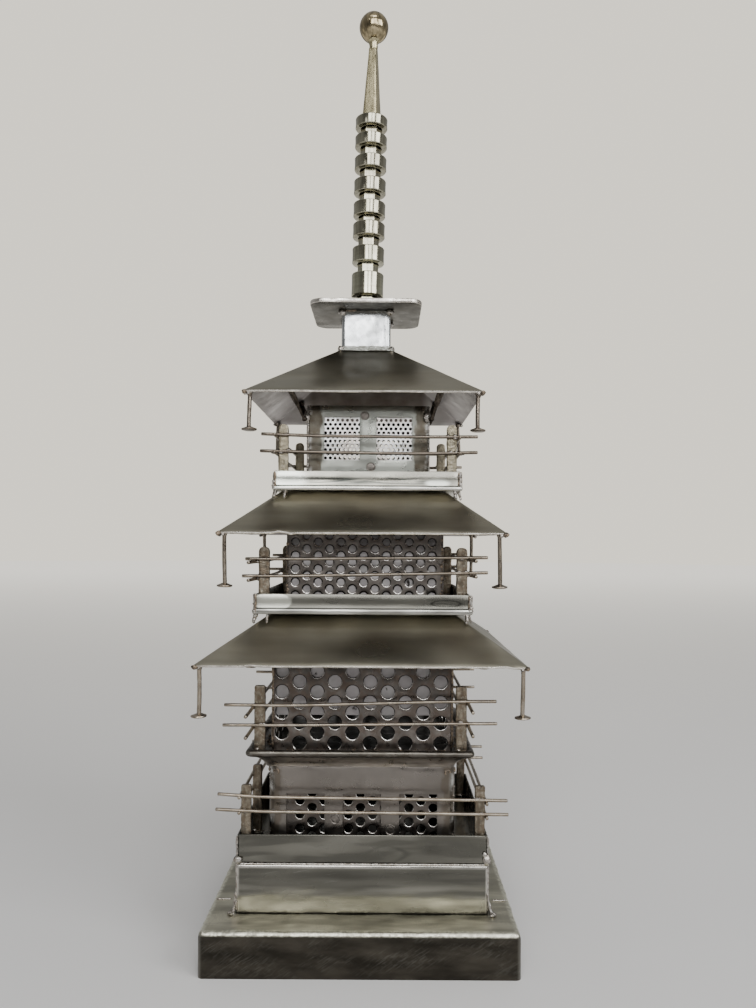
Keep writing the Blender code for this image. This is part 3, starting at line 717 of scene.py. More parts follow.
def roof_underside(surface, colours):
    """The inner face of the roof sheets, a much brighter copy of the sheet as a painted reflection, darker
    along the middle at the front and the rear.
    """
    cloud = surface.cloud
    # Painted reflection: the inner face is far brighter than the outer one.
    surface.start(cloud(30, 77), (0.38, 0.36, 0.345), (0.57, 0.545, 0.535))
    surface.lay(cloud(12, 78, 0.0, 0.35), (0.45, 0.40, 0.40))
    across, along = surface.offsets()
    # Darker along the middle of the front and rear faces.
    burn = across.least(along).spread(47.0, 38.0) * cloud(16, 85, 0.7, 0.95)
    surface.lay(burn * (along - across).spread(-0.5, 0.5), (0.15, 0.12, 0.10))
    surface.finish(cloud(12, 79, 0.34, 0.5), (cloud(20, 80), 0.2))


def cut_edge(surface, colours):
    """The bright cut edge of a sheet, made brighter still by a painted highlight."""
    cloud = surface.cloud
    # Painted highlight on top of the bright cut steel.
    surface.start(cloud(5, 81), (0.50, 0.465, 0.41), (0.92, 0.88, 0.81))
    surface.finish(cloud(3, 83, 0.22, 0.42), (cloud((0.7, 0.7, 6), 82), 0.03))


def punched_edge(surface, colours):
    """The rolled rim of a punched hole, with a painted highlight where it looks up and painted shade where it
    looks down.
    """
    cloud = surface.cloud
    normal = surface.add("ShaderNodeNewGeometry").outputs["Normal"]
    rise = surface.value("ShaderNodeSeparateXYZ", {0: normal}, "Z")
    bright = surface.mix(cloud(4, 86), (0.50, 0.47, 0.43), (0.92, 0.90, 0.86))
    # Painted light and shade by the rim's facing: bright upwards, dark downwards.
    surface.start(rise.spread(-0.05, 0.22), (0.035, 0.031, 0.028), bright)
    surface.finish(cloud(3, 87, 0.16, 0.30))


def painted_shade_inside(surface, colours):
    """Near-black inner faces of the walls, as painted shade."""
    cloud = surface.cloud
    # Painted shade: near-black colour.
    surface.start(cloud(14, 88), (0.010, 0.009, 0.008), (0.032, 0.028, 0.024))
    surface.finish(cloud(9, 89, 0.5, 0.75), (cloud(2, 90), 0.05))


def inner_steel(surface, colours):
    """Dull inner face of the first storey's sheet."""
    cloud = surface.cloud
    surface.start(cloud(9, 48), (0.06, 0.058, 0.045), (0.20, 0.19, 0.15))
    surface.finish(cloud(6, 49, 0.35, 0.6), (cloud(5, 50), 0.1))


def plug_steel(surface, colours):
    """Ground-flush plug weld, a little darker than the wall around it."""
    cloud = surface.cloud
    surface.start(cloud(1.6, 26), *shades(colours.wall, 0.8, 1.15))
    surface.finish(cloud(1.2, 27, 0.28, 0.46), (cloud(0.8, 28), 0.03))


def rusty_bar(surface, colours):
    """Rough bar with soft rusty patches and streaks, painted lighter on the third storey where it is lit,
    with small brassy painted highlights.
    """
    cloud = surface.cloud
    surface.start(cloud((3, 3, 8), 91, edge=0.16), *shades(colours.bar, 0.62, 1.45))
    surface.lay(cloud(2.4, 92, 0.0, 0.6, edge=0.12), (0.15, 0.108, 0.072))
    # Painted light: the third storey's posts are lighter.
    surface.lay(surface.axis("Z").spread(262.0, 288.0, 0.0, 0.55), (0.38, 0.345, 0.25))
    # Small brassy painted highlights.
    surface.lay(cloud(2, 93, edge=0.2).spread(0.74, 0.98) * 0.45, (0.42, 0.39, 0.32))
    surface.finish(cloud(1.6, 94, 0.30, 0.55), (cloud(2.2, 95), 0.17), (cloud(0.6, 96), 0.04))


def burnt_bar(surface, colours):
    """Nearly black bar."""
    cloud = surface.cloud
    surface.start(cloud(2.6, 97, edge=0.16), (0.035, 0.028, 0.022), (0.12, 0.10, 0.08))
    surface.finish(cloud(2, 98, 0.34, 0.6), (cloud(1.5, 99), 0.2))


def drawn_wire(surface, colours):
    """Drawn wire, a little brown, darker on the upper storeys."""
    cloud = surface.cloud
    surface.start(cloud(9, 101, edge=0.15), *shades(colours.rod, 0.75, 1.2))
    surface.lay(cloud(3, 102, 0.0, 0.35, edge=0.12), (0.30, 0.23, 0.16))
    surface.lay(surface.axis("Z").spread(150.0, 300.0, 0.0, 0.62), (0.13, 0.108, 0.09))
    surface.finish(cloud(4, 103, 0.26, 0.40), (cloud(1.2, 104), 0.03))


def zinc_tube(surface, colours):
    """Zinc-bright tube with cloudy spangle."""
    cloud = surface.cloud
    place = surface.times(surface.place, 0.28)
    grain = surface.add("ShaderNodeTexVoronoi", {"Vector": place, "Scale": 1.0}).outputs["Color"]
    tone = surface.value("ShaderNodeSeparateColor", {0: grain})
    surface.start(tone, *shades(colours.zinc, 0.88, 1.12))
    surface.lay(cloud(9, 111, 0.0, 0.5), shade(colours.zinc, 0.72))
    surface.lay(surface.axis("Z").near(365.0, 3.5) * 0.6, (0.52, 0.45, 0.36))
    surface.finish(cloud(5, 112, 0.14, 0.30), (cloud(12, 113, detail=1.0), 0.16), (tone, 0.004))


def neck_foot(surface, colours):
    """Rough zinc-bright weld round the foot of the tube."""
    cloud = surface.cloud
    surface.start(cloud(1.6, 115, edge=0.16), (0.34, 0.34, 0.29), (0.80, 0.82, 0.76))
    surface.finish(cloud(2, 116, 0.32, 0.5), (cloud(1.3, 117), 0.2), metallic=0.35)


def turned_metal(surface, colours):
    """Lathe-turned steel with fine rings, darker upright streaks as a painted reflection, and paler lower
    collars as a painted highlight.
    """
    cloud = surface.cloud
    # Painted reflection: upright streaks.
    surface.start(cloud((1.5, 1.5, 16), 121), *shades(colours.turned, 0.6, 1.25))
    # Painted highlight: the lower collars are paler.
    surface.lay(surface.axis("Z").spread(446.0, 404.0, 0.0, 0.42), (0.74, 0.75, 0.57))
    surface.lay(cloud((30, 30, 1.2), 122, 0.0, 0.35), (0.30, 0.26, 0.19))
    surface.finish(cloud((4, 4, 3), 124, 0.08, 0.19), (cloud((60, 60, 0.22), 123, detail=1.0), 0.006))


def spike_steel(surface, colours):
    """Ground four-sided spike, a little golden."""
    cloud = surface.cloud
    surface.start(cloud((2, 2, 16), 131), (0.38, 0.335, 0.21), (0.66, 0.59, 0.37))
    surface.finish(cloud((2, 2, 8), 133, 0.16, 0.34), (cloud((0.25, 0.25, 7), 132, detail=2.0), 0.02))


def ball_metal(surface, colours):
    """Dark polished bearing ball with wavy upright streaks as a painted reflection."""
    cloud = surface.cloud
    # Painted reflection: wavy upright streaks.
    surface.start(cloud((2.6, 2.6, 12), 141, edge=0.26), *shades(colours.ball, 0.5, 1.55))
    surface.lay(surface.scratches(20, 5, 0.12, 0.70, 142) * 0.15, (0.5, 0.46, 0.4))
    surface.finish(cloud(4, 143, 0.12, 0.20), (cloud((3, 3, 9), 144, detail=1.0), 0.12))


def weld_metal(surface, colours):
    """Silvery weld metal with brown tint in its valleys."""
    cloud = surface.cloud
    surface.start(cloud(2.2, 151, edge=0.15), *shades(colours.weld, 0.6, 1.3))
    surface.lay(cloud(4, 152, 0.0, 0.3, edge=0.12), (0.36, 0.28, 0.21))
    surface.finish(cloud(1.5, 153, 0.20, 0.42), (cloud(0.9, 154), 0.08))


def dark_weld(surface, colours):
    """Scaled dark weld metal."""
    cloud = surface.cloud
    surface.start(cloud(1.8, 161, edge=0.15), (0.10, 0.085, 0.07), (0.34, 0.27, 0.20))
    surface.finish(cloud(1.4, 162, 0.3, 0.6), (cloud(0.9, 163), 0.10))


def floor_paint(surface, colours):
    """Plain pale matt floor with a painted glow that grows with distance behind the tower, so that it fades
    into the bright background.
    """
    surface.start(surface.cloud(300, 171), shade(colours.floor, 0.985), tuple(colours.floor))
    # Painted glow: the floor gives off light that grows with distance behind the tower.
    painted_glow = surface.axis("Y").spread(0.0, 6000.0).math("POWER", 0.5) * 0.95
    surface.join(surface.shader.inputs["Emission Color"], (1.0, 0.955, 0.85, 1.0))
    surface.join(surface.shader.inputs["Emission Strength"], painted_glow)
    surface.finish(0.85, metallic=0.0)


FINISHES = {
    maker.__name__: maker
    for maker in (
        mill_steel, podium_steel, ground_pan_steel, second_pan_steel, third_pan_steel, plate_steel,
        ground_wall_steel, third_wall_steel, dish_steel, ground_screen_steel, first_screen_steel,
        second_screen_steel, third_screen_steel, liner_sheet, roof_sheet, roof_underside, cut_edge,
        punched_edge, painted_shade_inside, inner_steel, plug_steel, rusty_bar, burnt_bar, drawn_wire, zinc_tube,
        neck_foot, turned_metal, spike_steel, ball_metal, weld_metal, dark_weld, floor_paint,
    )
}


def finish(name):
    """The material of that name, made when it is first asked for."""
    found = bpy.data.materials.get(name)
    if found is None:
        surface = Surface(name)
        FINISHES[name](surface, bpy.context.scene.pagoda_colours)
        found = surface.material
    return found


# Meshes


def wander(point, scale, seed):
    """Smooth noise from about -1 to 1, in waves about scale millimetres long."""
    return noise.noise(Vector(point) / scale + Vector((seed * 7.3, seed * 3.1, seed * 5.7)))


def outward(point):
    """The level direction from the upright axis through the origin to a point."""
    return Vector((point[0], point[1], 0)).normalized()


def turns(count):
    """Angles that share out a full turn."""
    return [2 * math.pi * step / count for step in range(count)]


def arc(across, z, radius, first_deg, last_deg, steps):
    """Points of an arc in an upright section, as pairs of distance from the axis and height."""
    angles = [math.radians(first_deg + (last_deg - first_deg) * step / steps) for step in range(steps + 1)]
    return [(across + radius * math.cos(angle), z + radius * math.sin(angle)) for angle in angles]


def outline(half_x, half_y, radius, z, side_cuts, corner_cuts, centre=(0.0, 0.0)):
    """A rounded rectangle's points, anticlockwise from the left end of its front side."""
    points = []
    for quarter in range(4):
        along, across = (half_x, half_y) if quarter % 2 == 0 else (half_y, half_x)
        flat = along - radius
        local = [(-flat + 2 * flat * step / side_cuts, -across) for step in range(side_cuts)]
        for step in range(corner_cuts):
            turn = math.radians(90 * step / corner_cuts - 90)
            local.append((flat + radius * math.cos(turn), radius - across + radius * math.sin(turn)))
        for x, y in local:
            x, y = quarter_turn(x, y, quarter)
            points.append((x + centre[0], y + centre[1], z))
    return points


def shrinking(shares, half_x, half_y, radius, *rest):
    """Rows that fill a flat rounded rectangle, each a share of its size; the rest is as in outline."""
    return [outline(half_x * share, half_y * share, radius * share, *rest) for share in shares]


def loft(bm, rows, close_first=False, close_last=False, material=0):
    """Join closed rows of points. Rows that go up make faces that look outwards."""
    rings = [[bm.verts.new(point) for point in row] for row in rows]
    for low, high in zip(rings, rings[1:]):
        for index in range(len(low)):
            other = (index + 1) % len(low)
            face = bm.faces.new((low[index], low[other], high[other], high[index]))
            face.material_index = material
    if close_first:
        bm.faces.new(reversed(rings[0])).material_index = material
    if close_last:
        bm.faces.new(rings[-1]).material_index = material


def push(bm, amount, scale, seed):
    """Move each vertex along its normal by smooth noise."""
    bm.normal_update()
    moves = [(vert, vert.normal * (amount * wander(vert.co, scale, seed))) for vert in bm.verts]
    for vert, move in moves:
        vert.co += move


def scaled_mesh(name, bm, finishes):
    """Turn a mesh drawn in millimetres into an object in metres."""
    bmesh.ops.scale(bm, vec=(MM, MM, MM), verts=bm.verts)
    mesh = bpy.data.meshes.new(name)
    bm.to_mesh(mesh)
    bm.free()
    for finish_name in finishes:
        mesh.materials.append(finish(finish_name))
    made = bpy.data.objects.new(name, mesh)
    bpy.context.scene.collection.objects.link(made)
    return made


def add_piece(name, bm, finishes, replaced=(), sharp_deg=35.0):
    """Turn a mesh drawn in millimetres into a piece that rides on the tower."""
    piece = scaled_mesh(name, bm, finishes)
    smooth(piece, sharp_deg)
    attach(piece, "root")
    if replaced:
        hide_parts(*replaced)
    return piece


def smooth(piece, sharp_deg):
    """Smooth shading that keeps real edges sharp."""
    piece.data.shade_smooth()
    piece.data.set_sharp_from_angle(angle=math.radians(sharp_deg))


def thicken(piece, sheet, edge=0.0, back=0, rim=0, sharp_deg=35.0):
    """Give an open sheet its thickness and soften its edges; back and rim are steps to other finishes."""
    shell = piece.modifiers.new("sheet", "SOLIDIFY")
    shell.thickness = sheet * MM
    shell.offset = -1.0
    shell.use_even_offset = True
    shell.material_offset = back
    shell.material_offset_rim = rim
    if edge:
        soft = piece.modifiers.new("soft_edge", "BEVEL")
        soft.width = edge * MM
        soft.segments = 2
        soft.limit_method = "ANGLE"
        soft.angle_limit = math.radians(40)
        soft.use_clamp_overlap = False
        soft.material = rim if rim else -1
    solid = piece.evaluated_get(bpy.context.evaluated_depsgraph_get())
    mesh = bpy.data.meshes.new_from_object(solid)
    piece.modifiers.clear()
    piece.data = mesh
    smooth(piece, sharp_deg)


def bend(points, cuts):
    """A smooth line through points."""
    ends = [points[0] * 2 - points[1]] + list(points) + [points[-1] * 2 - points[-2]]
    line = []
    for index in range(1, len(ends) - 2):
        p0, p1, p2, p3 = ends[index - 1:index + 3]
        for step in range(cuts):
            t = step / cuts
            line.append(0.5 * (2 * p1 + (p2 - p0) * t + (2 * p0 - 5 * p1 + 4 * p2 - p3) * t * t
                               + (3 * p1 - 3 * p2 + p3 - p0) * t * t * t))
    line.append(points[-1])
    return line


def tube(bm, path, radius, sides, end=0.25, material=0):
    """A round bar along a path, with small chamfers at its ends. radius is a number or one per point."""
    points = [Vector(point) for point in path]
    radii = [radius] * len(points) if isinstance(radius, (int, float)) else list(radius)
    first = (points[1] - points[0]).normalized()
    last = (points[-1] - points[-2]).normalized()
    points = [points[0], points[0] + first * end] + points[1:-1] + [points[-1] - last * end, points[-1]]
    radii = [radii[0] * 0.7, radii[0]] + radii[1:-1] + [radii[-1], radii[-1] * 0.7]
    up = Vector((0, 0, 1)) if abs(first.z) < 0.9 else Vector((0, 1, 0))
    rows = []
    for index, point in enumerate(points):
        before = points[max(index - 1, 0)]
        after = points[min(index + 1, len(points) - 1)]
        run = (after - before).normalized()
        across = run.cross(up).normalized()
        over = across.cross(run)
        row = [point + (across * math.cos(t) + over * math.sin(t)) * radii[index] for t in turns(sides)]
        rows.append(list(reversed(row)))
    loft(bm, rows, True, True, material)


def bead(bm, start, end, radius, pitch=1.3, seed=0, material=0):
    """A weld bead between two points: overlapping ripples with uneven width."""
    first, last = Vector(start), Vector(end)
    length = (last - first).length
    count = max(4, int(length / pitch) * 3)
    path, radii = [], []
    for step in range(count + 1):
        share = step / count
        point = first.lerp(last, share)
        ripple = (step % 3) / 3
        uneven = 1 + 0.28 * wander(point, 2.6, seed)
        taper = min(1.0, 0.35 + 6 * min(share, 1 - share) * length / 12)
        radii.append(radius * uneven * (0.78 + 0.22 * ripple) * taper)
        drift = Vector((wander(point, 3, seed + 1), wander(point, 3, seed + 2), 0))
        path.append(point + drift * radius * 0.25)
    tube(bm, path, radii, 8, min(0.2, length * 0.1), material)


def upright_bead(bm, box, quarter, along, out, heights, radius, pitch, seed, material=0):
    """A weld bead up a side, between two heights."""
    foot, head = (box.point(quarter, along, out, z) for z in heights)
    bead(bm, foot, head, radius, pitch, seed, material)


def blob(bm, centre, radius, seed, stretch=(1, 1, 1), material=0, detail=2):
    """A lump of weld metal."""
    made = bmesh.ops.create_icosphere(bm, subdivisions=detail, radius=1.0)["verts"]
    size = Vector(stretch) * radius
    for vert in made:
        lumpy = 1 + 0.30 * wander(vert.co, 0.8, seed) + 0.12 * wander(vert.co, 0.35, seed + 1)
        vert.co = Vector(centre) + vert.co * size * lumpy
    for face in {face for vert in made for face in vert.link_faces}:
        face.material_index = material


def plug_weld(bm, sides, quarter, along, z, radius, seed, material):
    """A low round weld that fills a hole in a wall, with a shallow groove inside its edge."""
    rows = []
    for share, out in ((1.0, -0.3), (1.0, 0.1), (0.93, 0.26), (0.84, 0.24), (0.76, 0.05), (0.64, 0.12),
                       (0.35, 0.2), (0.05, 0.2)):
        row = []
        for turn in turns(28):
            reach = radius * share * (1 + 0.05 * wander((math.cos(turn), math.sin(turn), 0), 0.9, seed))
            row.append(sides.point(quarter, along + reach * math.cos(turn), out, z + reach * math.sin(turn)))
        rows.append(row)
    loft(bm, rows, close_last=True, material=material)


def spatter(bm, count, seed, place, low, high):
    """Small drops of weld metal; place turns two random shares into a point."""
    draw = random.Random(seed)
    for number in range(count):
        point = place(draw.random(), draw.random())
        blob(bm, point, draw.uniform(low, high), seed + number, (1, 1, 0.8), detail=1)


# Sheet-metal shapes


def folded_box(bm, node, edge, cuts):
    """A box folded from sheet, open below, as its outer skin."""
    box = Sides(node)
    half_x, half_y, centre = box.half.x, box.half.y, box.centre
    bottom, top = box.bottom, box.top
    rows = []
    for z in (bottom, bottom + 0.4 * (top - bottom), top - edge - 1.0):
        rows.append(outline(half_x, half_y, edge, z, cuts, 4, centre))
    for out, z in arc(-edge, top - edge, edge, 0, 90, 4):
        rows.append(outline(half_x + out, half_y + out, max(edge + out, 0.3), z, cuts, 4, centre))
    shares = (0.92, 0.78, 0.6, 0.4, 0.2, 0.04)
    rows += shrinking(shares, half_x - edge, half_y - edge, 0.3, top, cuts, 4, centre)
    loft(bm, rows, close_last=True)


def pan(bm, box, profile, corner, cuts):
    """A pan from a profile of (inset from the outside, height)."""
    rows = []
    for inset, z in profile:
        radius = max(corner - inset, 0.25)
        rows.append(outline(box.half.x - inset, box.half.y - inset, radius, z, cuts, 4, box.centre))
    loft(bm, rows, True, True)


def around(left, right, low, high):
    """Grid points around a block, anticlockwise from its lower left corner."""
    rim = [(i, low) for i in range(left, right)] + [(right, k) for k in range(low, high)]
    return rim + [(i, high) for i in range(right, left, -1)] + [(left, k) for k in range(high, low, -1)]


def perforated_side(bm, half, corner, u_lines, z_lines, blocks, radius, lip=0.0):
    """One side of a square tube, from the middle of one corner to the next, with its openings.

    Each block is (first u, last u, first z, last z, hole's u, hole's z), the first four as indices of
    the lines. A block without a hole's place is left open. A lip is how far the punch has drawn the
    edge of each hole inwards, as a quarter round in the second material.
    """
    flat = half - corner
    angles = [math.radians(angle) for angle in (-45, -56, -67, -79)]
    ends = [(flat + corner * math.cos(t), -flat + corner * math.sin(t)) for t in angles]
    places = [(-x, y) for x, y in ends] + [(u, -half) for u in u_lines] + list(reversed(ends))
    offset = len(ends)
    grid = {}

    def vert(i, k):
        if (i, k) not in grid:
            grid[i, k] = bm.verts.new((*places[i], z_lines[k]))
        return grid[i, k]

    taken = set()
    for i0, i1, k0, k1, _, _ in blocks:
        taken.update((i + offset, k) for i in range(i0, i1) for k in range(k0, k1))
    for i in range(len(places) - 1):
        for k in range(len(z_lines) - 1):
            if (i, k) not in taken:
                bm.faces.new((vert(i, k), vert(i + 1, k), vert(i + 1, k + 1), vert(i, k + 1)))
    bends = [math.radians(angle) for angle in ((0, 20, 42, 66, 88) if lip else (0,))]
    for i0, i1, k0, k1, hole_u, hole_z in blocks:
        if hole_u is None:
            continue
        rim = around(i0 + offset, i1 + offset, k0, k1)
        count = len(rim)
        start = -math.pi / 2 - math.pi * (i1 - i0) / count
        rings = []
        for angle in bends:
            reach = radius - lip * math.sin(angle)
            ring = []
            for turn in turns(count):
                u = within(hole_u + reach * math.cos(start + turn), u_lines, 0.3)
                z = within(hole_z + reach * math.sin(start + turn), z_lines, 0.35)
                ring.append(bm.verts.new((u, lip * (1 - math.cos(angle)) - half, z)))
            rings.append(ring)
        for step in range(count):
            other = (step + 1) % count
            bm.faces.new((vert(*rim[step]), vert(*rim[other]), rings[0][other], rings[0][step]))
            for outer, inner in zip(rings, rings[1:]):
                face = bm.faces.new((outer[step], outer[other], inner[other], inner[step]))
                face.material_index = 1


def within(value, lines, margin):
    """A value kept inside the outermost lines by a margin."""
    return min(max(value, lines[0] + margin), lines[-1] - margin)


def four_walls(bm, centre_x):
    """Repeat a side on the other three, weld the corners and move the tube into place."""
    side = bm.verts[:] + bm.edges[:] + bm.faces[:]
    for quarter in (1, 2, 3):
        copy = bmesh.ops.duplicate(bm, geom=side)["geom"]
        verts = [item for item in copy if isinstance(item, bmesh.types.BMVert)]
        for item in verts:
            item.co.x, item.co.y = quarter_turn(item.co.x, item.co.y, quarter)
    bmesh.ops.remove_doubles(bm, verts=bm.verts, dist=MERGE)
    bmesh.ops.translate(bm, vec=(centre_x, 0, 0), verts=bm.verts)


def staggered(holes, half_flat, bottom, top):
    """Lines and blocks of a staggered pattern, whose first column starts on the second half step."""
    (first_u, first_z), pitch, half_step = holes["first"], holes["pitch"], holes["half_step"]
    cells_u, cells_z = holes["cells"]
    columns = range(holes["columns"])
    edges = [first_u + pitch * (column - 0.5) for column in range(len(columns) + 1)]
    u_lines = [-half_flat] if edges[0] > -half_flat + 0.2 else []
    lead = len(u_lines)
    for column in columns:
        u_lines += [edges[column] + pitch * step / cells_u for step in range(cells_u)]
    u_lines.append(edges[-1])
    if edges[-1] < half_flat - 0.2:
        u_lines.append(half_flat)
    u_lines[0] = max(u_lines[0], -half_flat)
    u_lines[-1] = min(u_lines[-1], half_flat)
    steps = int((top - first_z) / half_step) + 1
    marks = [bottom] + [first_z + half_step * step for step in range(steps)] + [top]
    per_step = cells_z // 2
    z_lines = []
    for low, high in zip(marks, marks[1:]):
        z_lines += [low + (high - low) * step / per_step for step in range(per_step)]
    z_lines.append(top)
    blocks = []
    for column in columns:
        for step in range((column + 1) % 2, steps, 2):
            i0 = lead + column * cells_u
            k0 = step * per_step
            place = (first_u + pitch * column, first_z + half_step * step)
            blocks.append((i0, i0 + cells_u, k0, k0 + 2 * per_step, *place))
    return u_lines, z_lines, blocks


def divided(marks, longest=4.5):
    """Lines through marks, with more between them where they are far apart, and the marks' indices."""
    lines, starts = [], []
    for first, last in zip(marks, marks[1:]):
        starts.append(len(lines))
        cuts = max(1, round((last - first) / longest))
        lines += [first + (last - first) * step / cuts for step in range(cuts)]
    starts.append(len(lines))
    lines.append(marks[-1])
    return lines, starts


def window_lines(windows, half_flat, low, high):
    """Lines and open blocks of a wall with a row of windows."""
    marks = [-half_flat]
    for middle in windows["middles"]:
        marks += [middle - windows["width"] / 2, middle + windows["width"] / 2]
    u_lines, u_starts = divided(marks + [half_flat])
    z_lines, z_starts = divided([low, windows["sill"], windows["head"], high])
    blocks = [(u_starts[2 * number + 1], u_starts[2 * number + 2], z_starts[1], z_starts[2], None, None)
              for number in range(len(windows["middles"]))]
    return u_lines, z_lines, blocks


def windowed_wall(node):
    """A square tube of sheet with a row of windows cut through each side."""
    box, windows = Sides(node), WINDOWS[node]
    lines = window_lines(windows, box.half.x - windows["corner"], box.bottom, box.top)
    bm = bmesh.new()
    perforated_side(bm, box.half.x, windows["corner"], *lines, 0)
    four_walls(bm, box.centre.x)
    wall = add_piece(node + "_sheet", bm, [node + "_steel", "painted_shade_inside"], [node])
    thicken(wall, WALL_SHEET, 0.25, back=1)


def rolled_screen(node, hole, outside, inside):
    """A square tube of perforated sheet, whose hole edges the punch has rolled inwards."""
    box, holes = Sides(node), PERFORATIONS[node]
    pattern = staggered(holes, box.half.x - SCREEN_CORNER, box.bottom, box.top)
    bm = bmesh.new()
    perforated_side(bm, box.half.x, SCREEN_CORNER, *pattern, hole / MM / 2, holes["lip"])
    four_walls(bm, box.centre.x)
    screen = add_piece(node + "_sheet", bm, [outside, "punched_edge", inside], [node])
    thicken(screen, ROLLED_SHEET, back=2)


def balcony_pan(node):
    """A flat balcony pan: a lip below, an upright skirt and a floor inside it."""
    lip = LIP_REACH
    box = Sides(node)
    bottom, top = box.bottom, box.top
    lip_top = bottom + BALCONIES[node]["lip_height"]
    profile = (
        (0.8, bottom), (0.2, bottom + 0.3), (0, bottom + 0.9), (0, lip_top - 0.9), (0.3, lip_top - 0.2),
        (lip - 0.3, lip_top), (lip, lip_top + 0.6), (lip, (lip_top + top) / 2), (lip, top - 0.5),
        (lip + 0.2, top - 0.1), (lip + 0.6, top), (lip + 1.0, top - 0.1), (lip + SHEET, top - 0.5),
        (lip + SHEET, lip_top + 2.0), (lip + SHEET, lip_top - 0.3),
    )
    bm = bmesh.new()
    pan(bm, box, profile, 1.5, 24)
    push(bm, 0.25, 18, box.centre.z)
    for vert in bm.verts:
        if vert.co.z < lip_top - 0.1:
            vert.co += outward(vert.co) * (0.25 * wander(vert.co, 2.4, 7))
    add_piece(node + "_pan", bm, [node.split("_")[0] + "_pan_steel"], [node])


def balcony_welds(node, seed):
    """Uneven welds up a pan's corners, and drips that tie its lip to the roof below."""
    box = Sides(node)
    bottom, top, point = box.bottom, box.top, box.point
    draw = random.Random(seed)
    bm = bmesh.new()
    for quarter in range(4):
        reach = box.reach(quarter)
        for inset, out, radius, material in ((1.3, -1.5, 1.15, 0), (0.7, -1.9, 0.7, 1), (2.3, -1.3, 0.65, 1)):
            upright_bead(bm, box, quarter, reach - inset, out, (bottom + 0.4, top - 0.3),
                         radius, 1.9, seed + quarter * 20 + int(inset * 10), material)
        for step in range(5):
            z = draw.uniform(bottom + 0.5, top - 0.6)
            blob(bm, point(quarter, reach - draw.uniform(0.8, 2.2), draw.uniform(-1.6, -0.9), z),
                 draw.uniform(0.8, 1.4), seed + quarter * 20 + step, (1.1, 1.0, 0.8), detail=3)
        for along, size in zip(BALCONIES[node]["drips"], (1.0, 1.35)):
            for step in range(5):
                beside = along + draw.uniform(-0.3, 0.3)
                place = point(quarter, beside, 0.35 * step - 1.9, bottom + 0.2 - 1.15 * step)
                number = seed + 90 + quarter * 10 + step
                blob(bm, place, size * (1.2 - 0.08 * step), number, (0.85, 0.85, 1.1))
    add_piece(node + "_welds", bm, ["weld_metal", "dark_weld"])


# Stage


def lay_floor():
    """A wide round floor."""
    bm = bmesh.new()
    bmesh.ops.create_circle(bm, cap_ends=True, segments=64, radius=FLOOR_RADIUS)
    floor = scaled_mesh("floor", bm, ["floor_paint"])


def soft_light(name, place, size, power, target):
    """A soft rectangular light that faces the tower, level or tilted to a target."""
    data = bpy.data.lights.new(name, "AREA")
    data.shape = "RECTANGLE"
    data.size, data.size_y = size
    data.energy = power
    light = bpy.data.objects.new(name, data)
    light.location = place
    aim = Vector((-place[0], -place[1], 0)) if target is None else Vector(target) - Vector(place)
    light.rotation_euler = aim.to_track_quat("-Z", "Y").to_euler()
    bpy.context.scene.collection.objects.link(light)


def room():
    """A plain room: pale at the level of the tower, darker overhead and behind the camera."""
    world = bpy.data.worlds.new("room")
    bpy.context.scene.world = world
    world.use_nodes = True
    tree = Tree(world.node_tree)
    way = tree.add("ShaderNodeTexCoord").outputs["Generated"]
    split = tree.add("ShaderNodeSeparateXYZ", {0: way}).outputs
    rise = tree.add("ShaderNodeMapRange", {"Value": split["Z"], "From Min": -1.0}).outputs[0]
    ramp = tree.add("ShaderNodeValToRGB", {0: rise})
    elements = ramp.color_ramp.elements
    while len(elements) < len(ROOM_LEVELS):
        elements.new(0.5)
    for element, (position, level) in zip(elements, ROOM_LEVELS):
        element.position = position
        element.color = (*shade(ROOM_TINT, level), 1.0)
    sockets = {"Value": split["Y"], "From Min": -0.8, "From Max": 0.4, "To Min": 0.45, "To Max": 1.0}
    behind = tree.add("ShaderNodeMapRange", sockets).outputs[0]
    dim = tree.times(ramp.outputs[0], behind)
    seen = tree.add("ShaderNodeLightPath").outputs["Is Camera Ray"]
    background = tree.tree.nodes["Background"]
    tree.join(background.inputs["Color"], tree.mix(seen, dim, BACKDROP))
    tree.join(background.inputs["Strength"], 1.0)


def camera():
    """A camera level with the middle storeys, slightly rolled, with its lens shifted."""
    data = bpy.data.cameras.new("camera")
    data.sensor_width = 36
    data.lens = CAMERA_LENS
    data.shift_x, data.shift_y = CAMERA_SHIFT
    data.clip_start = 0.01
    made = bpy.data.objects.new("camera", data)
    bpy.context.scene.collection.objects.link(made)
    made.location = CAMERA_PLACE
    made.rotation_euler = Euler((math.radians(90), math.radians(CAMERA_ROLL_DEG), 0))
    bpy.context.scene.camera = made


class PAGODA_OT_stage(bpy.types.Operator):
    """Add the floor, the lights, the surroundings and the camera"""

    bl_idname = "pagoda.stage"
    bl_label = "Stage"

    def execute(self, context):
        lay_floor()
        for name, spec in LIGHTS.items():
            soft_light(name, *spec)
        room()
        camera()
        return {"FINISHED"}


# Plinth and podium


def plinth_sheet():
    """Folded box with a wavy top and a ragged rim, from grinding its welds."""
    box = Sides("plinth")
    rim_band = 3.0
    bm = bmesh.new()
    folded_box(bm, "plinth", 2.6, 90)
    for vert in bm.verts:
        if vert.co.z > box.bottom + 1:
            vert.co.z += 0.25 * wander(vert.co, 26, 1) * min(1, (vert.co.z - box.bottom) / 20) - 0.1
    rim = [vert for vert in bm.verts if vert.co.z > box.top - rim_band
           and max(abs(vert.co.x), abs(vert.co.y)) > box.half.x - rim_band]
    for vert in rim:
        vert.co += outward(vert.co) * (0.35 * wander(vert.co, 5, 2) - 0.25)
        vert.co.z += 0.3 * wander(vert.co, 3.2, 4) - 0.15
    thicken(add_piece("plinth_sheet", bm, ["mill_steel"], ["plinth"]), PLINTH_SHEET, 0.3)


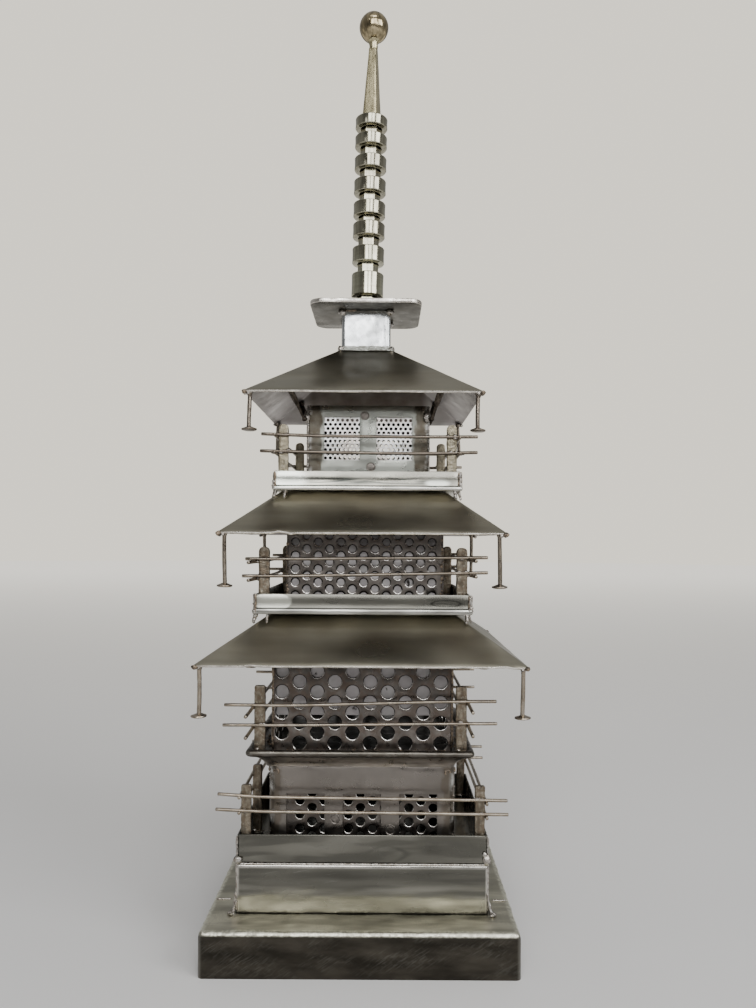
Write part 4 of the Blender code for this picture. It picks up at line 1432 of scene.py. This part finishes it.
def podium_sheet():
    """Folded box on the plinth."""
    bm = bmesh.new()
    folded_box(bm, "podium", 1.6, 30)
    push(bm, 0.25, 30, 3)
    thicken(add_piece("podium_sheet", bm, ["podium_steel"], ["podium"]), SHEET, 0.2)


def corner_run(bm, box, quarter, sign):
    """Weld metal that runs down a corner of the podium and out over the plinth."""
    reach = box.reach(quarter)
    start = 38.0 if sign > 0 else 33.0
    course = ((-0.9, 0.1, start), (-0.2, 0.4, 31.5), (1.2, 1.0, 28.0), (3.4, 2.0, 26.5))
    line = bend([Vector(box.point(quarter, sign * (reach + beyond), out, z)) for beyond, out, z in course], 5)
    sizes = [0.55 + 0.5 * step / len(line) + 0.25 * abs(wander(place, 2, 20 + sign))
             for step, place in enumerate(line)]
    tube(bm, line, sizes, 8)
    foot = box.point(quarter, sign * (reach + 2.6), 1.6, 26.7)
    blob(bm, foot, 1.3, 20 + quarter * 2 + sign, (1.3, 1.0, 0.7))


def base_welds(radius):
    """Seams of the podium and the ground pan, lumps at the front corners and tacks on the plinth."""
    box = Sides("podium")
    plinth_top, pan_top = Sides("plinth").top, Sides("ground_balcony").top
    seam = box.top + 0.15
    bm = bmesh.new()
    for quarter in range(4):
        reach = box.reach(quarter)
        bead(bm, box.point(quarter, 1 - reach, -0.35, seam), box.point(quarter, reach - 1, -0.35, seam),
             radius * 0.95, 3.2, seed=quarter)
        upright_bead(bm, box, quarter, reach - 0.7, -0.7, (plinth_top + 1.0, pan_top - 0.8),
                     radius * 1.05, 2.6, quarter + 5)
        for sign in (-1, 1):
            corner_run(bm, box, quarter, sign)
    for place, size, seed, stretch in (
            ((72.6, -66.1, 57.4), 2.0, 41, (1.2, 0.6, 1.5)),
            ((71.4, -66.1, 60.6), 1.3, 42, (1.0, 0.6, 1.3)),
            ((-72.6, -66.2, 57.0), 2.2, 43, (1.25, 0.6, 1.1))):
        blob(bm, Vector(place) + Vector((box.centre.x, 0, 0)), size, seed, stretch)
    for sign in (-1, 1):
        for y, seed in ((-47, 50), (47, 52)):
            bead(bm, (sign * 78.5, y, plinth_top), (sign * 88.0, y, plinth_top), 0.6, seed=seed + sign)
    add_piece("base_welds", bm, ["weld_metal"])


class PAGODA_OT_base(bpy.types.Operator):
    """Add the plinth and the podium with their welded edges"""

    bl_idname = "pagoda.base"
    bl_label = "Plinth and podium"

    def execute(self, context):
        plinth_sheet()
        podium_sheet()
        base_welds(context.scene.pagoda_sizes.bead_radius / MM)
        return {"FINISHED"}


# Ground storey


def ground_pan():
    """Pan with a polished upright skirt."""
    box = Sides("ground_balcony")
    bottom, top = box.bottom, box.top
    profile = (
        (0.8, bottom), (0.1, bottom + 0.7), (0, bottom + 6), (0, bottom + 12), (0, top - 0.5),
        (0.3, top - 0.1), (0.6, top), (0.95, top - 0.1),
        (1.2, top - 0.5), (1.2, bottom + 8), (1.2, bottom + 1.2),
    )
    bm = bmesh.new()
    pan(bm, box, profile, 1.4, 30)
    push(bm, 0.22, 26, 11)
    add_piece("ground_pan", bm, ["ground_pan_steel"], ["ground_balcony"])


def ground_wall_welds():
    """Plug welds, a curl of weld at each upper corner and spatter up the corners."""
    box = Sides("ground_wall")
    point = box.point
    bm = bmesh.new()
    for quarter in range(4):
        for number, (along, z, radius) in enumerate(PLUG_WELDS["ground_wall"]):
            plug_weld(bm, box, quarter, along, z, radius, 60 + 10 * number + quarter, 1)
        for sign in (-1, 1):
            curl = [point(quarter, sign * (51.0 + 1.6 * math.cos(t)), 0.1, 105.6 + 1.6 * math.sin(t))
                    for t in (0, 0.8, 1.6, 2.4, 3.2, 4.0)]
            tube(bm, curl, 0.6, 8, material=2)
        spatter(bm, 12, 80 + quarter, lambda a, b: point(
            quarter, 55.0 if a > 0.5 else -55.0, -1.5 + b, 58 + 46 * abs(b * 2 - 1)), 0.3, 0.8)
    add_piece("ground_wall_welds", bm, ["weld_metal", "plug_steel", "dark_weld"])


class PAGODA_OT_ground_storey(bpy.types.Operator):
    """Add the ground storey: pan, windowed wall and perforated screen"""

    bl_idname = "pagoda.ground_storey"
    bl_label = "Ground storey"

    def execute(self, context):
        ground_pan()
        windowed_wall("ground_wall")
        hole = context.scene.pagoda_sizes.ground_hole
        rolled_screen("ground_screen", hole, "ground_screen_steel", "painted_shade_inside")
        ground_wall_welds()
        return {"FINISHED"}


# First storey


def first_dish():
    """Dish with a flared skirt, a rolled rim and a flat floor."""
    centre = Sides("first_balcony").centre
    cuts = (28, 4, centre)
    section = arc(*DISH_SKIRT, 157.6, 120.0, 8) + arc(*DISH_RIM, -105, 205, 14)
    rows = [outline(half, half, 3.0, z, *cuts) for half, z in section]
    rows += shrinking((0.97, 0.9, 0.7, 0.4, 0.1), 63.1, 63.1, 2.5, 118.0, *cuts)
    bm = bmesh.new()
    loft(bm, rows, close_last=True)
    push(bm, 0.3, 12, 21)
    thicken(add_piece("first_dish", bm, ["dish_steel"], ["first_balcony"]), DISH_SHEET)


def first_storey_welds():
    """Dark beads up the wall's corners and spatter along its foot."""
    box = Sides("first_wall")
    point = box.point
    bm = bmesh.new()
    for quarter in range(4):
        upright_bead(bm, box, quarter, 53.7, -0.5, (119.5, 198.5), 0.8, 1.8, 90 + quarter)
        spatter(bm, 60, 100 + 70 * quarter,
                lambda a, b: point(quarter, -53 + 106 * a, 1 + 5.5 * b, 118.8), 0.3, 1.1)
    add_piece("first_storey_welds", bm, ["dark_weld"])


class PAGODA_OT_first_storey(bpy.types.Operator):
    """Add the first storey: dish and perforated wall"""

    bl_idname = "pagoda.first_storey"
    bl_label = "First storey"

    def execute(self, context):
        first_dish()
        hole = context.scene.pagoda_sizes.first_hole
        rolled_screen("first_wall", hole, "first_screen_steel", "inner_steel")
        first_storey_welds()
        return {"FINISHED"}


# Second storey


def second_wall_welds():
    """Dark lumps up the lower half of the wall's corners."""
    box = Sides("second_wall")
    draw = random.Random(220)
    lumps = 16
    bm = bmesh.new()
    for quarter in range(4):
        for step in range(lumps):
            inset, out = draw.uniform(0, 1.4), draw.uniform(-1.0, -0.5)
            place = box.point(quarter, 47.1 - inset, out, 205.5 + 2.55 * step)
            blob(bm, place, draw.uniform(0.7, 1.5), 221 + quarter * lumps + step, (1, 1, 1.5))
    add_piece("second_wall_welds", bm, ["dark_weld"])


class PAGODA_OT_second_storey(bpy.types.Operator):
    """Add the second storey: pan and perforated wall"""

    bl_idname = "pagoda.second_storey"
    bl_label = "Second storey"

    def execute(self, context):
        balcony_pan("second_balcony")
        balcony_welds("second_balcony", 200)
        hole = context.scene.pagoda_sizes.second_hole
        rolled_screen("second_wall", hole, "second_screen_steel", "painted_shade_inside")
        second_wall_welds()
        return {"FINISHED"}


# Third storey


def third_screen_sheet(hole):
    """Square tube of fine perforated sheet, with holes where the windows show it."""
    box = Sides("third_screen")
    flat = box.half.x - SCREEN_CORNER
    u_lines = [-flat + FINE_CELL * step for step in range(int(2 * flat / FINE_CELL) + 1)]
    u_lines[-1] = flat
    z_lines = [FINE_FIRST_Z + FINE_HALF_STEP * step for step in range(2 * FINE_ROWS + 2)]
    z_lines = [box.bottom, 286.0, *z_lines, box.top]
    blocks = []
    for row in range(FINE_ROWS):
        k0 = 2 + row * 2
        for column in range(-11, 11):
            u = FINE_COLUMN + FINE_PITCH * (column + 0.5 * (row % 2))
            if not FINE_REACH[0] < abs(u) < FINE_REACH[1]:
                continue
            i0 = round((u - FINE_PITCH / 2 + flat) / FINE_CELL)
            middle = (u_lines[i0] + u_lines[i0 + 4]) / 2
            blocks.append((i0, i0 + 4, k0, k0 + 2, middle, z_lines[k0 + 1]))
    bm = bmesh.new()
    perforated_side(bm, box.half.x, SCREEN_CORNER, u_lines, z_lines, blocks, hole / MM / 2)
    four_walls(bm, box.centre.x)
    finishes = ["third_screen_steel", "painted_shade_inside"]
    thicken(add_piece("third_screen_sheet", bm, finishes, ["third_screen"]), FINE_SHEET,
            back=1, rim=1)


def third_wall_welds():
    """Plug welds between the windows and welds up the wall's corners."""
    box = Sides("third_wall")
    bm = bmesh.new()
    for quarter in range(4):
        for number, (along, z, radius) in enumerate(PLUG_WELDS["third_wall"]):
            plug_weld(bm, box, quarter, along, z, radius, 400 + 10 * number + quarter, 2)
        blob(bm, box.point(quarter, 36.0, -0.6, 320.0), 2.2, 420 + quarter, (1.2, 1.2, 1.8))
        upright_bead(bm, box, quarter, 37.4, -0.8, (280, 325), 0.8, 1.6, 430 + quarter)
    add_piece("third_wall_welds", bm, ["weld_metal", "dark_weld", "plug_steel"])


class PAGODA_OT_third_storey(bpy.types.Operator):
    """Add the third storey: pan, windowed wall and fine screen"""

    bl_idname = "pagoda.third_storey"
    bl_label = "Third storey"

    def execute(self, context):
        balcony_pan("third_balcony")
        balcony_welds("third_balcony", 300)
        windowed_wall("third_wall")
        third_screen_sheet(context.scene.pagoda_sizes.third_hole)
        third_wall_welds()
        return {"FINISHED"}


# Roofs


def roof_sheet_piece(node, wave, seed):
    """A hipped roof of thin sheet that waves, with an uneven, dented eave."""
    (eave_half, eave_z), (top_half, top_z) = ROOFS[node]
    closed = node == "upper_roof"
    steps = 14
    rows = []
    for step in range(steps + 1):
        share = step / steps
        half = eave_half + (top_half - eave_half) * share
        rows.append(outline(half, half, 0.9, eave_z + (top_z - eave_z) * share, 48, 2))
    if closed:
        rows += shrinking((0.85, 0.5, 0.1), top_half, top_half, 0.9, top_z, 48, 2)
    bm = bmesh.new()
    loft(bm, rows, close_last=closed)
    for vert in bm.verts:
        share = (eave_half - max(abs(vert.co.x), abs(vert.co.y))) / (eave_half - top_half)
        loose = math.sin(math.pi * min(max(share, 0), 1)) + 0.6 * max(0.0, 1 - share * 4)
        vert.co.z += wave * loose * wander(vert.co, 30, seed)
        if share < 0.02:
            vert.co -= outward(vert.co) * (0.12 + 0.22 * abs(wander(vert.co, 6, seed + 9)))
    dent_eave(bm, eave_half, EAVE_DENTS.get(node, ()))
    roof = add_piece(node + "_sheet", bm, ["roof_sheet", "roof_underside", "cut_edge"], [node])
    thicken(roof, SHEET, 0.2, back=1, rim=2, sharp_deg=30)


def dent_eave(bm, eave_half, dents):
    """Push small dents and torn lips into the front eave."""
    for vert in bm.verts:
        if vert.co.y < -eave_half + 2.5:
            for centre, width, lift in dents:
                share = 1 - abs(vert.co.x - centre) / width
                if share > 0:
                    vert.co.z += lift * share
                    vert.co.y += 0.5 * share


def roof_corner_welds():
    """Lumps of weld where the roofs' sheets meet at the corners of the eaves."""
    bm = bmesh.new()
    draw = random.Random(67)
    for number, (node, ((eave_half, eave_z), _)) in enumerate(ROOFS.items(), start=1):
        box = Sides(node)
        for quarter in range(4):
            big = draw.uniform(1.35, 1.6)
            seed = number * 9 + quarter
            corner = box.point(quarter, eave_half - 1.0, -1.0, eave_z - 0.7)
            blob(bm, corner, big, seed, (1.1, 1.1, 0.95), 0, 3)
            beside = box.point(quarter, eave_half - 3.6, -0.9, eave_z - 1.3)
            blob(bm, beside, big * 0.8, seed + 40, material=1)
            beyond = box.point(quarter, eave_half - 0.9, -3.4, eave_z - 1.3)
            blob(bm, beyond, big * 0.7, seed + 80, material=1)
    add_piece("roof_corner_welds", bm, ["dark_weld", "weld_metal"])


class PAGODA_OT_roofs(bpy.types.Operator):
    """Add the three hipped roofs"""

    bl_idname = "pagoda.roofs"
    bl_label = "Roofs"

    def execute(self, context):
        wave = context.scene.pagoda_sizes.roof_wave / MM
        for seed, node in enumerate(ROOFS, start=1):
            roof_sheet_piece(node, wave, seed)
        roof_corner_welds()
        return {"FINISHED"}


# Railings


def post(bm, x, y, spec, seed):
    """A rough flat-bar post with rounded top corners and a weld at its foot."""
    half, deep = spec["post_width"] / 2, POST_DEPTH / 2
    foot, top, soft = spec["post_foot"], spec["post_top"], spec["post_round"]
    levels = [(half, foot + (top - soft - foot) * step / 26) for step in range(27)]
    levels += arc(half - soft, top - soft, soft, 0, 90, 6)[1:]
    start = len(bm.verts)
    loft(bm, [outline(wide, deep, 0.6, z, 5, 2, (x, y)) for wide, z in levels], True, True)
    bm.verts.ensure_lookup_table()
    for vert in bm.verts[start:]:
        rough = 0.22 * wander(vert.co, 2.2, seed) + 0.12 * wander(vert.co, 0.9, seed + 1) - 0.05
        vert.co += outward((vert.co.x - x, vert.co.y - y)) * rough
    blob(bm, (x, y, foot + 0.6), 2.6, seed + 3, (1.5, 0.95, 0.5), 2)
    side = -1 if y < 0 else 1
    blob(bm, (x - 1.5, y + side * 1.2, foot + 1.8), 1.2, seed + 4, material=2)


def rail_height(path, x):
    """Height of a rail at a place along it."""
    for (x0, z0), (x1, z1) in zip(path, path[1:]):
        if x0 <= x <= x1:
            return z0 + (z1 - z0) * (x - x0) / (x1 - x0)
    return path[-1][1]


def rod(bm, points):
    """A rail bent smoothly through points."""
    tube(bm, bend([Vector(point) for point in points], 8), RAIL_RADIUS, 12, 0.3, 1)


def rails(bm, spec, seed):
    """Front, rear and side rods with weld lumps on each crossing."""
    rail_y = spec["post_y"] + POST_DEPTH / 2 + RAIL_REACH
    reach = spec["post_width"] / 2 + RAIL_REACH
    front, rear = spec["side_rails"]
    draw = random.Random(seed)
    for path in spec["front_rails"]:
        for side in (-1, 1):
            rod(bm, [(x, side * rail_y, z) for x, z in path])
            rail_x = spec["post_x"][side > 0] + side * reach
            low = (path[0][1], path[-1][1])[side > 0] - SIDE_RAIL_DROP
            splayed = rail_x + side * spec["splay"]
            rod(bm, [(splayed, front, low), (rail_x, front * 0.55, low), (rail_x + side * 0.3, 0, low - 0.3),
                     (rail_x, rear * 0.55, low), (splayed, rear, low)])
            for x in spec["post_x"]:
                z = rail_height(path, x)
                for _ in range(3):
                    lump = (x + draw.uniform(-3.4, 3.4), side * (rail_y - 0.4), z + draw.uniform(-0.9, 0.9))
                    blob(bm, lump, draw.uniform(0.8, 1.5), seed + 7, (1.2, 0.8, 0.8), 2)
            for sign in (-1, 1):
                lump = (rail_x - side * 0.4, sign * spec["post_y"] + draw.uniform(-1.2, 1.2), low)
                blob(bm, lump, draw.uniform(0.9, 1.5), seed + 9, (0.8, 1.2, 0.9), 2)


def railing_bars(node, spec, number):
    """The posts and rails of one railing."""
    bm = bmesh.new()
    places = [(x, sign * spec["post_y"]) for x in spec["post_x"] for sign in (-1, 1)]
    for index, (x, y) in enumerate(places + list(spec["extra_posts"])):
        post(bm, x, y, spec, number * 10 + index)
    rails(bm, spec, number * 50)
    add_piece(node + "_bars", bm, ["rusty_bar", "drawn_wire", "weld_metal"], [node], 50)


class PAGODA_OT_railings(bpy.types.Operator):
    """Add the railings: rough posts, rods and weld lumps"""

    bl_idname = "pagoda.railings"
    bl_label = "Railings"

    def execute(self, context):
        for number, (node, spec) in enumerate(RAILINGS.items()):
            railing_bars(node, spec, number)
        return {"FINISHED"}


# Nails


def nail_shank(bm, box, lean, seed):
    """The slightly bent shank, flared where it is welded to the roof."""
    path, radii = [], []
    for step in range(13):
        share = step / 12
        z = box.top - (box.top - box.bottom - 1.2) * share
        sway = 0.25 * math.sin(share * 3 + seed)
        path.append((box.centre.x + sway + lean * share, box.centre.y + sway * 0.6, z))
        radii.append(NAIL_RADIUS + 0.1 * wander((seed, z, 0), 3, seed) + (NAIL_FLARE if step == 0 else 0))
    tube(bm, path, radii, 14, 0.4)


def nail_head(bm, foot, seed):
    """The round head, a little uneven and tilted."""
    rows = []
    for radius, z in NAIL_HEAD:
        row = []
        for turn in turns(20):
            wobble = 1 + 0.05 * wander((math.cos(turn), math.sin(turn), seed), 0.7, seed)
            row.append(foot + Vector((math.cos(turn), math.sin(turn), 0)) * radius * wobble
                       + Vector((0, 0, z + 0.12 * math.cos(turn + seed) + 0.12)))
        rows.append(row)
    loft(bm, rows, True, True)


class PAGODA_OT_nails(bpy.types.Operator):
    """Add the nails that hang head down under the roof corners"""

    bl_idname = "pagoda.nails"
    bl_label = "Nails"

    def execute(self, context):
        for seed, node in enumerate(nodes_with("_nail_")):
            box = Sides(node)
            lean = 0.0
            if node.startswith("upper") and "rear" in node:
                lean = 0.8 * (1 if box.centre.x > 0 else -1)
            bm = bmesh.new()
            nail_shank(bm, box, lean, seed)
            nail_head(bm, Vector((box.centre.x + lean, box.centre.y, box.bottom)), seed)
            blob(bm, (box.centre.x, box.centre.y, box.top - 0.4), 2.0, seed + 500, (1, 1, 0.6), 1)
            add_piece(node + "_rod", bm, ["drawn_wire", "weld_metal"], [node])
        return {"FINISHED"}


# Roof brackets


def bracket_bar(node, seed):
    """A flat bar, forged slim where it leaves the wall, from the wall up to the roof."""
    low, high = span(node)
    near_x, far_x = (high.x - 2.0, low.x + 2.0) if "left" in node else (low.x + 2.0, high.x - 2.0)
    near_y, far_y = (high.y - 2.0, low.y + 2.0) if "front" in node else (low.y + 2.0, high.y - 2.0)
    inner = Vector((near_x, near_y, low.z + 1.6))
    outer = Vector((far_x, far_y, high.z - 1.4))
    run = (outer - inner).normalized()
    across = run.cross(Vector((0, 0, 1))).normalized()
    over = across.cross(run)
    rows = []
    for step in range(15):
        share = step / 14
        point = inner.lerp(outer, share)
        slim = min(1.0, 0.42 + max(0.0, share - 0.30) * 3.5)
        wide = 2.6 * slim * (1 + 0.08 * wander(point, 3, seed))
        thick = 1.35 * min(1.0, slim + 0.3) * (1 + 0.12 * wander(point, 2, seed + 1))
        row = [point + across * wide * math.cos(turn) + over * thick * math.sin(turn) for turn in turns(14)]
        rows.append(list(reversed(row)))
    bm = bmesh.new()
    loft(bm, rows, True, True)
    blob(bm, inner, 1.7, seed + 600)
    blob(bm, outer, 2.4, seed + 610, (1.2, 1.2, 0.8))
    add_piece(node + "_bar", bm, ["burnt_bar"], [node])


class PAGODA_OT_brackets(bpy.types.Operator):
    """Add the flat bars that carry the upper roof on the third storey"""

    bl_idname = "pagoda.brackets"
    bl_label = "Roof brackets"

    def execute(self, context):
        for seed, node in enumerate(nodes_with("roof_bracket")):
            bracket_bar(node, seed)
        return {"FINISHED"}


# Neck and top plate


def neck_tube():
    """Short square tube on the upper roof."""
    box = Sides("neck")
    rows = [outline(box.half.x, box.half.y, 2.4, box.bottom + 2 * box.half.z * step / 8, 10, 5, box.centre)
            for step in range(9)]
    bm = bmesh.new()
    loft(bm, rows)
    push(bm, 0.25, 14, 31)
    thicken(add_piece("neck_tube", bm, ["zinc_tube"], ["neck"]), WALL_SHEET, 0.2)


def top_plate_sheet():
    """Plate with rounded corners and an uneven cut edge."""
    box = Sides("top_plate")
    half = box.half
    corner = 9.0
    rows = []
    edge = ((0.9, 0.0), (0.35, 0.15), (0.1, 0.6), (0.15, 1.5), (0.1, 2.4), (0.4, 2.85), (1.0, 3.0))
    for inset, rise in edge:
        z = box.bottom + rise
        rows.append(outline(half.x - inset, half.y - inset, corner - inset, z, 20, 8, box.centre))
    rows += shrinking((0.9, 0.7, 0.4, 0.1), half.x, half.y, corner - 1.0, box.top, 20, 8, box.centre)
    bm = bmesh.new()
    loft(bm, rows, True, True)
    for vert in bm.verts:
        if max(abs(vert.co.x), abs(vert.co.y)) > 28:
            vert.co -= outward(vert.co) * (0.35 * abs(wander(vert.co, 3, 33)))
    for face in bm.faces:
        if box.bottom + 0.1 < face.calc_center_median().z < box.top - 0.02:
            face.material_index = 1
    add_piece("top_plate_sheet", bm, ["plate_steel", "cut_edge"], ["top_plate"])


def neck_welds():
    """A ragged collar of weld round the neck's foot, with beads and lumps above and below."""
    box = Sides("neck")
    point = box.point
    rows = []
    for out, z in ((3.0, 365.35), (2.6, 365.9), (1.5, 366.6), (0.7, 367.6), (0.15, 368.8), (-0.3, 369.0)):
        row = outline(box.half.x + out, box.half.y + out, 2.4 + out * 0.6, z, 26, 6, box.centre)
        rows.append([Vector(place) for place in row])
        for place in rows[-1]:
            place.z += 0.55 * wander(place, 2.6, 51) * min(1.0, max(out, 0.0) + 0.4)
            place += outward(place) * (0.5 * wander(place, 3.5, 52))
    bm = bmesh.new()
    loft(bm, rows, material=2)
    reach = box.half.x
    for quarter in range(4):
        bead(bm, point(quarter, 2 - reach, -0.1, 391.6), point(quarter, -6.0, -0.1, 391.6), 0.8,
             seed=740 + quarter, material=1)
        for sign in (-1, 1):
            number = quarter * 2 + sign
            blob(bm, point(quarter, sign * (reach - 0.5), 0.0, 390.6), 1.8, 720 + number, (1.3, 0.9, 1.1))
            blob(bm, point(quarter, sign * (reach + 0.6), 0.4, 366.6), 1.9, 730 + number)
    add_piece("neck_welds", bm, ["weld_metal", "dark_weld", "neck_foot"])


class PAGODA_OT_crown(bpy.types.Operator):
    """Add the tube and the plate that carry the spire"""

    bl_idname = "pagoda.crown"
    bl_label = "Neck and top plate"

    def execute(self, context):
        neck_tube()
        top_plate_sheet()
        neck_welds()
        return {"FINISHED"}


# Spire


def spire_lean():
    """The lean of the whole spire about its foot."""
    return (Matrix.Translation((0, 0, SPIRE_FOOT)) @ Matrix.Rotation(math.radians(SPIRE_LEAN_DEG), 4, "Y")
            @ Matrix.Translation((0, 0, -SPIRE_FOOT)))


def collar_ring(name, top, height, lean):
    """A turned ring with rounded edges and a slightly hollow rim."""
    bottom = top - height
    outer = COLLAR_RADIUS
    profile = [(COLLAR_BORE, bottom), (outer - 0.85, bottom), (outer - 0.3, bottom + 0.2)]
    profile.append((outer, bottom + 0.7))
    for step in range(1, 8):
        share = step / 8
        profile.append((outer - 0.12 * math.sin(math.pi * share), bottom + 0.7 + (height - 1.4) * share))
    profile += [(outer, top - 0.7), (outer - 0.3, top - 0.2), (outer - 0.85, top), (COLLAR_BORE, top),
                (COLLAR_BORE, bottom)]
    bm = bmesh.new()
    loft(bm, [[(radius * math.cos(t), radius * math.sin(t), z) for t in turns(64)] for radius, z in profile])
    bmesh.ops.remove_doubles(bm, verts=bm.verts, dist=MERGE)
    bm.transform(lean)
    add_piece(name + "_ring", bm, ["turned_metal"], [name], 30)


def spike_bar(lean):
    """A four-sided taper with worn edges and a small turned tip."""
    rows = []
    for share in [step / 24 for step in range(25)]:
        z = SPIKE_FOOT + (SPIKE_TIP - SPIKE_FOOT) * share
        side = SPIKE_FOOT_WIDTH + (SPIKE_TIP_WIDTH - SPIKE_FOOT_WIDTH) * share
        rows.append(outline(side / 2, side / 2, 0.13 * side, z, 4, 4))
    for half, z in ((1.9, 570.0), (1.9, 571.2), (2.3, 571.5), (2.3, 572.4), (1.9, 572.7), (1.9, 573.3)):
        rows.append(outline(half, half, half * 0.98, z, 4, 4))
    bm = bmesh.new()
    loft(bm, rows, True, True)
    for vert in bm.verts:
        if vert.co.z < SPIKE_TIP + 0.5:
            vert.co += outward(vert.co) * (0.12 * wander(vert.co, 6, 41))
    bm.transform(lean @ Matrix.Rotation(math.radians(SPIKE_TWIST_DEG), 4, "Z"))
    add_piece("spire_spike_bar", bm, ["spike_steel"], ["spire_spike"], 32)


def spire_ball(lean):
    """The polished ball on the tip."""
    bm = bmesh.new()
    bmesh.ops.create_uvsphere(bm, u_segments=72, v_segments=44, radius=BALL_RADIUS)
    bmesh.ops.translate(bm, vec=(0, 0, BALL_MIDDLE), verts=bm.verts)
    push(bm, 0.03, 5, 43)
    bm.transform(lean)
    add_piece("spire_ball_polished", bm, ["ball_metal"], ["spire_ball"], 60)


def spire_welds(lean):
    """Lumps round the stem's foot and a rough fillet under the ball."""
    bm = bmesh.new()
    for number, turn in enumerate(turns(10)):
        blob(bm, (7.4 * math.cos(turn), 7.4 * math.sin(turn), 396.2), 1.3, 800 + number, (1.2, 1.2, 0.9))
    rows = []
    for radius, z in ((2.6, 568.6), (2.9, 570.2), (2.7, 571.6), (2.9, 572.6), (3.3, 573.4), (3.9, 574.1),
                      (4.2, 574.6), (3.4, 576.0)):
        row = []
        for turn in turns(20):
            way = Vector((math.cos(turn), math.sin(turn), 0))
            rough = 1 + 0.16 * wander((way.x, way.y, z), 0.9, 53)
            row.append(way * radius * rough + Vector((0, 0, z)))
        rows.append(row)
    loft(bm, rows, True, True, 1)
    bm.transform(lean)
    add_piece("spire_welds", bm, ["weld_metal", "spike_steel"])


class PAGODA_OT_spire(bpy.types.Operator):
    """Add the turned collars, the spike and the ball"""

    bl_idname = "pagoda.spire"
    bl_label = "Spire"

    def execute(self, context):
        lean = spire_lean()
        for number, (top, height) in enumerate(COLLARS, start=1):
            collar_ring(f"spire_collar_{number}", top, height, lean)
        spike_bar(lean)
        spire_ball(lean)
        spire_welds(lean)
        return {"FINISHED"}


class PAGODA_OT_plain_parts(bpy.types.Operator):
    """Give the solids that stay, the liners and the stem, their metal"""

    bl_idname = "pagoda.plain_parts"
    bl_label = "Liners and stem"

    def execute(self, context):
        kept = {"first_liner": "liner_sheet", "second_liner": "liner_sheet", "spire_stem": "turned_metal"}
        for node, finish_name in kept.items():
            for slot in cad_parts[node].material_slots:
                slot.material = finish(finish_name)
        return {"FINISHED"}


# Panel and registration


class PAGODA_PT_panel(bpy.types.Panel):
    """Lists the pagoda's parts, sizes and colours"""

    bl_idname = "PAGODA_PT_panel"
    bl_label = "Pagoda"
    bl_space_type = "VIEW_3D"
    bl_region_type = "UI"
    bl_category = "Pagoda"

    def draw(self, context):
        for settings in (context.scene.pagoda_sizes, context.scene.pagoda_colours):
            box = self.layout.box()
            for name in settings.__annotations__:
                box.prop(settings, name)
        for operator in OPERATORS:
            self.layout.operator(operator.bl_idname)


OPERATORS = (
    PAGODA_OT_stage, PAGODA_OT_base, PAGODA_OT_ground_storey, PAGODA_OT_first_storey,
    PAGODA_OT_second_storey, PAGODA_OT_third_storey, PAGODA_OT_roofs, PAGODA_OT_railings,
    PAGODA_OT_nails, PAGODA_OT_brackets, PAGODA_OT_crown, PAGODA_OT_spire, PAGODA_OT_plain_parts,
)
CLASSES = (PagodaSizes, PagodaColours, *OPERATORS, PAGODA_PT_panel)


def register():
    """Register the classes and the settings."""
    for item in CLASSES:
        bpy.utils.register_class(item)
    bpy.types.Scene.pagoda_sizes = bpy.props.PointerProperty(type=PagodaSizes)
    bpy.types.Scene.pagoda_colours = bpy.props.PointerProperty(type=PagodaColours)


def unregister():
    """Take back what register added."""
    del bpy.types.Scene.pagoda_colours
    del bpy.types.Scene.pagoda_sizes
    for item in reversed(CLASSES):
        bpy.utils.unregister_class(item)


def main():
    """Build every part in order."""
    register()
    for operator in OPERATORS:
        group, name = operator.bl_idname.split(".")
        getattr(getattr(bpy.ops, group), name)()


if __name__ == "__main__":
    main()
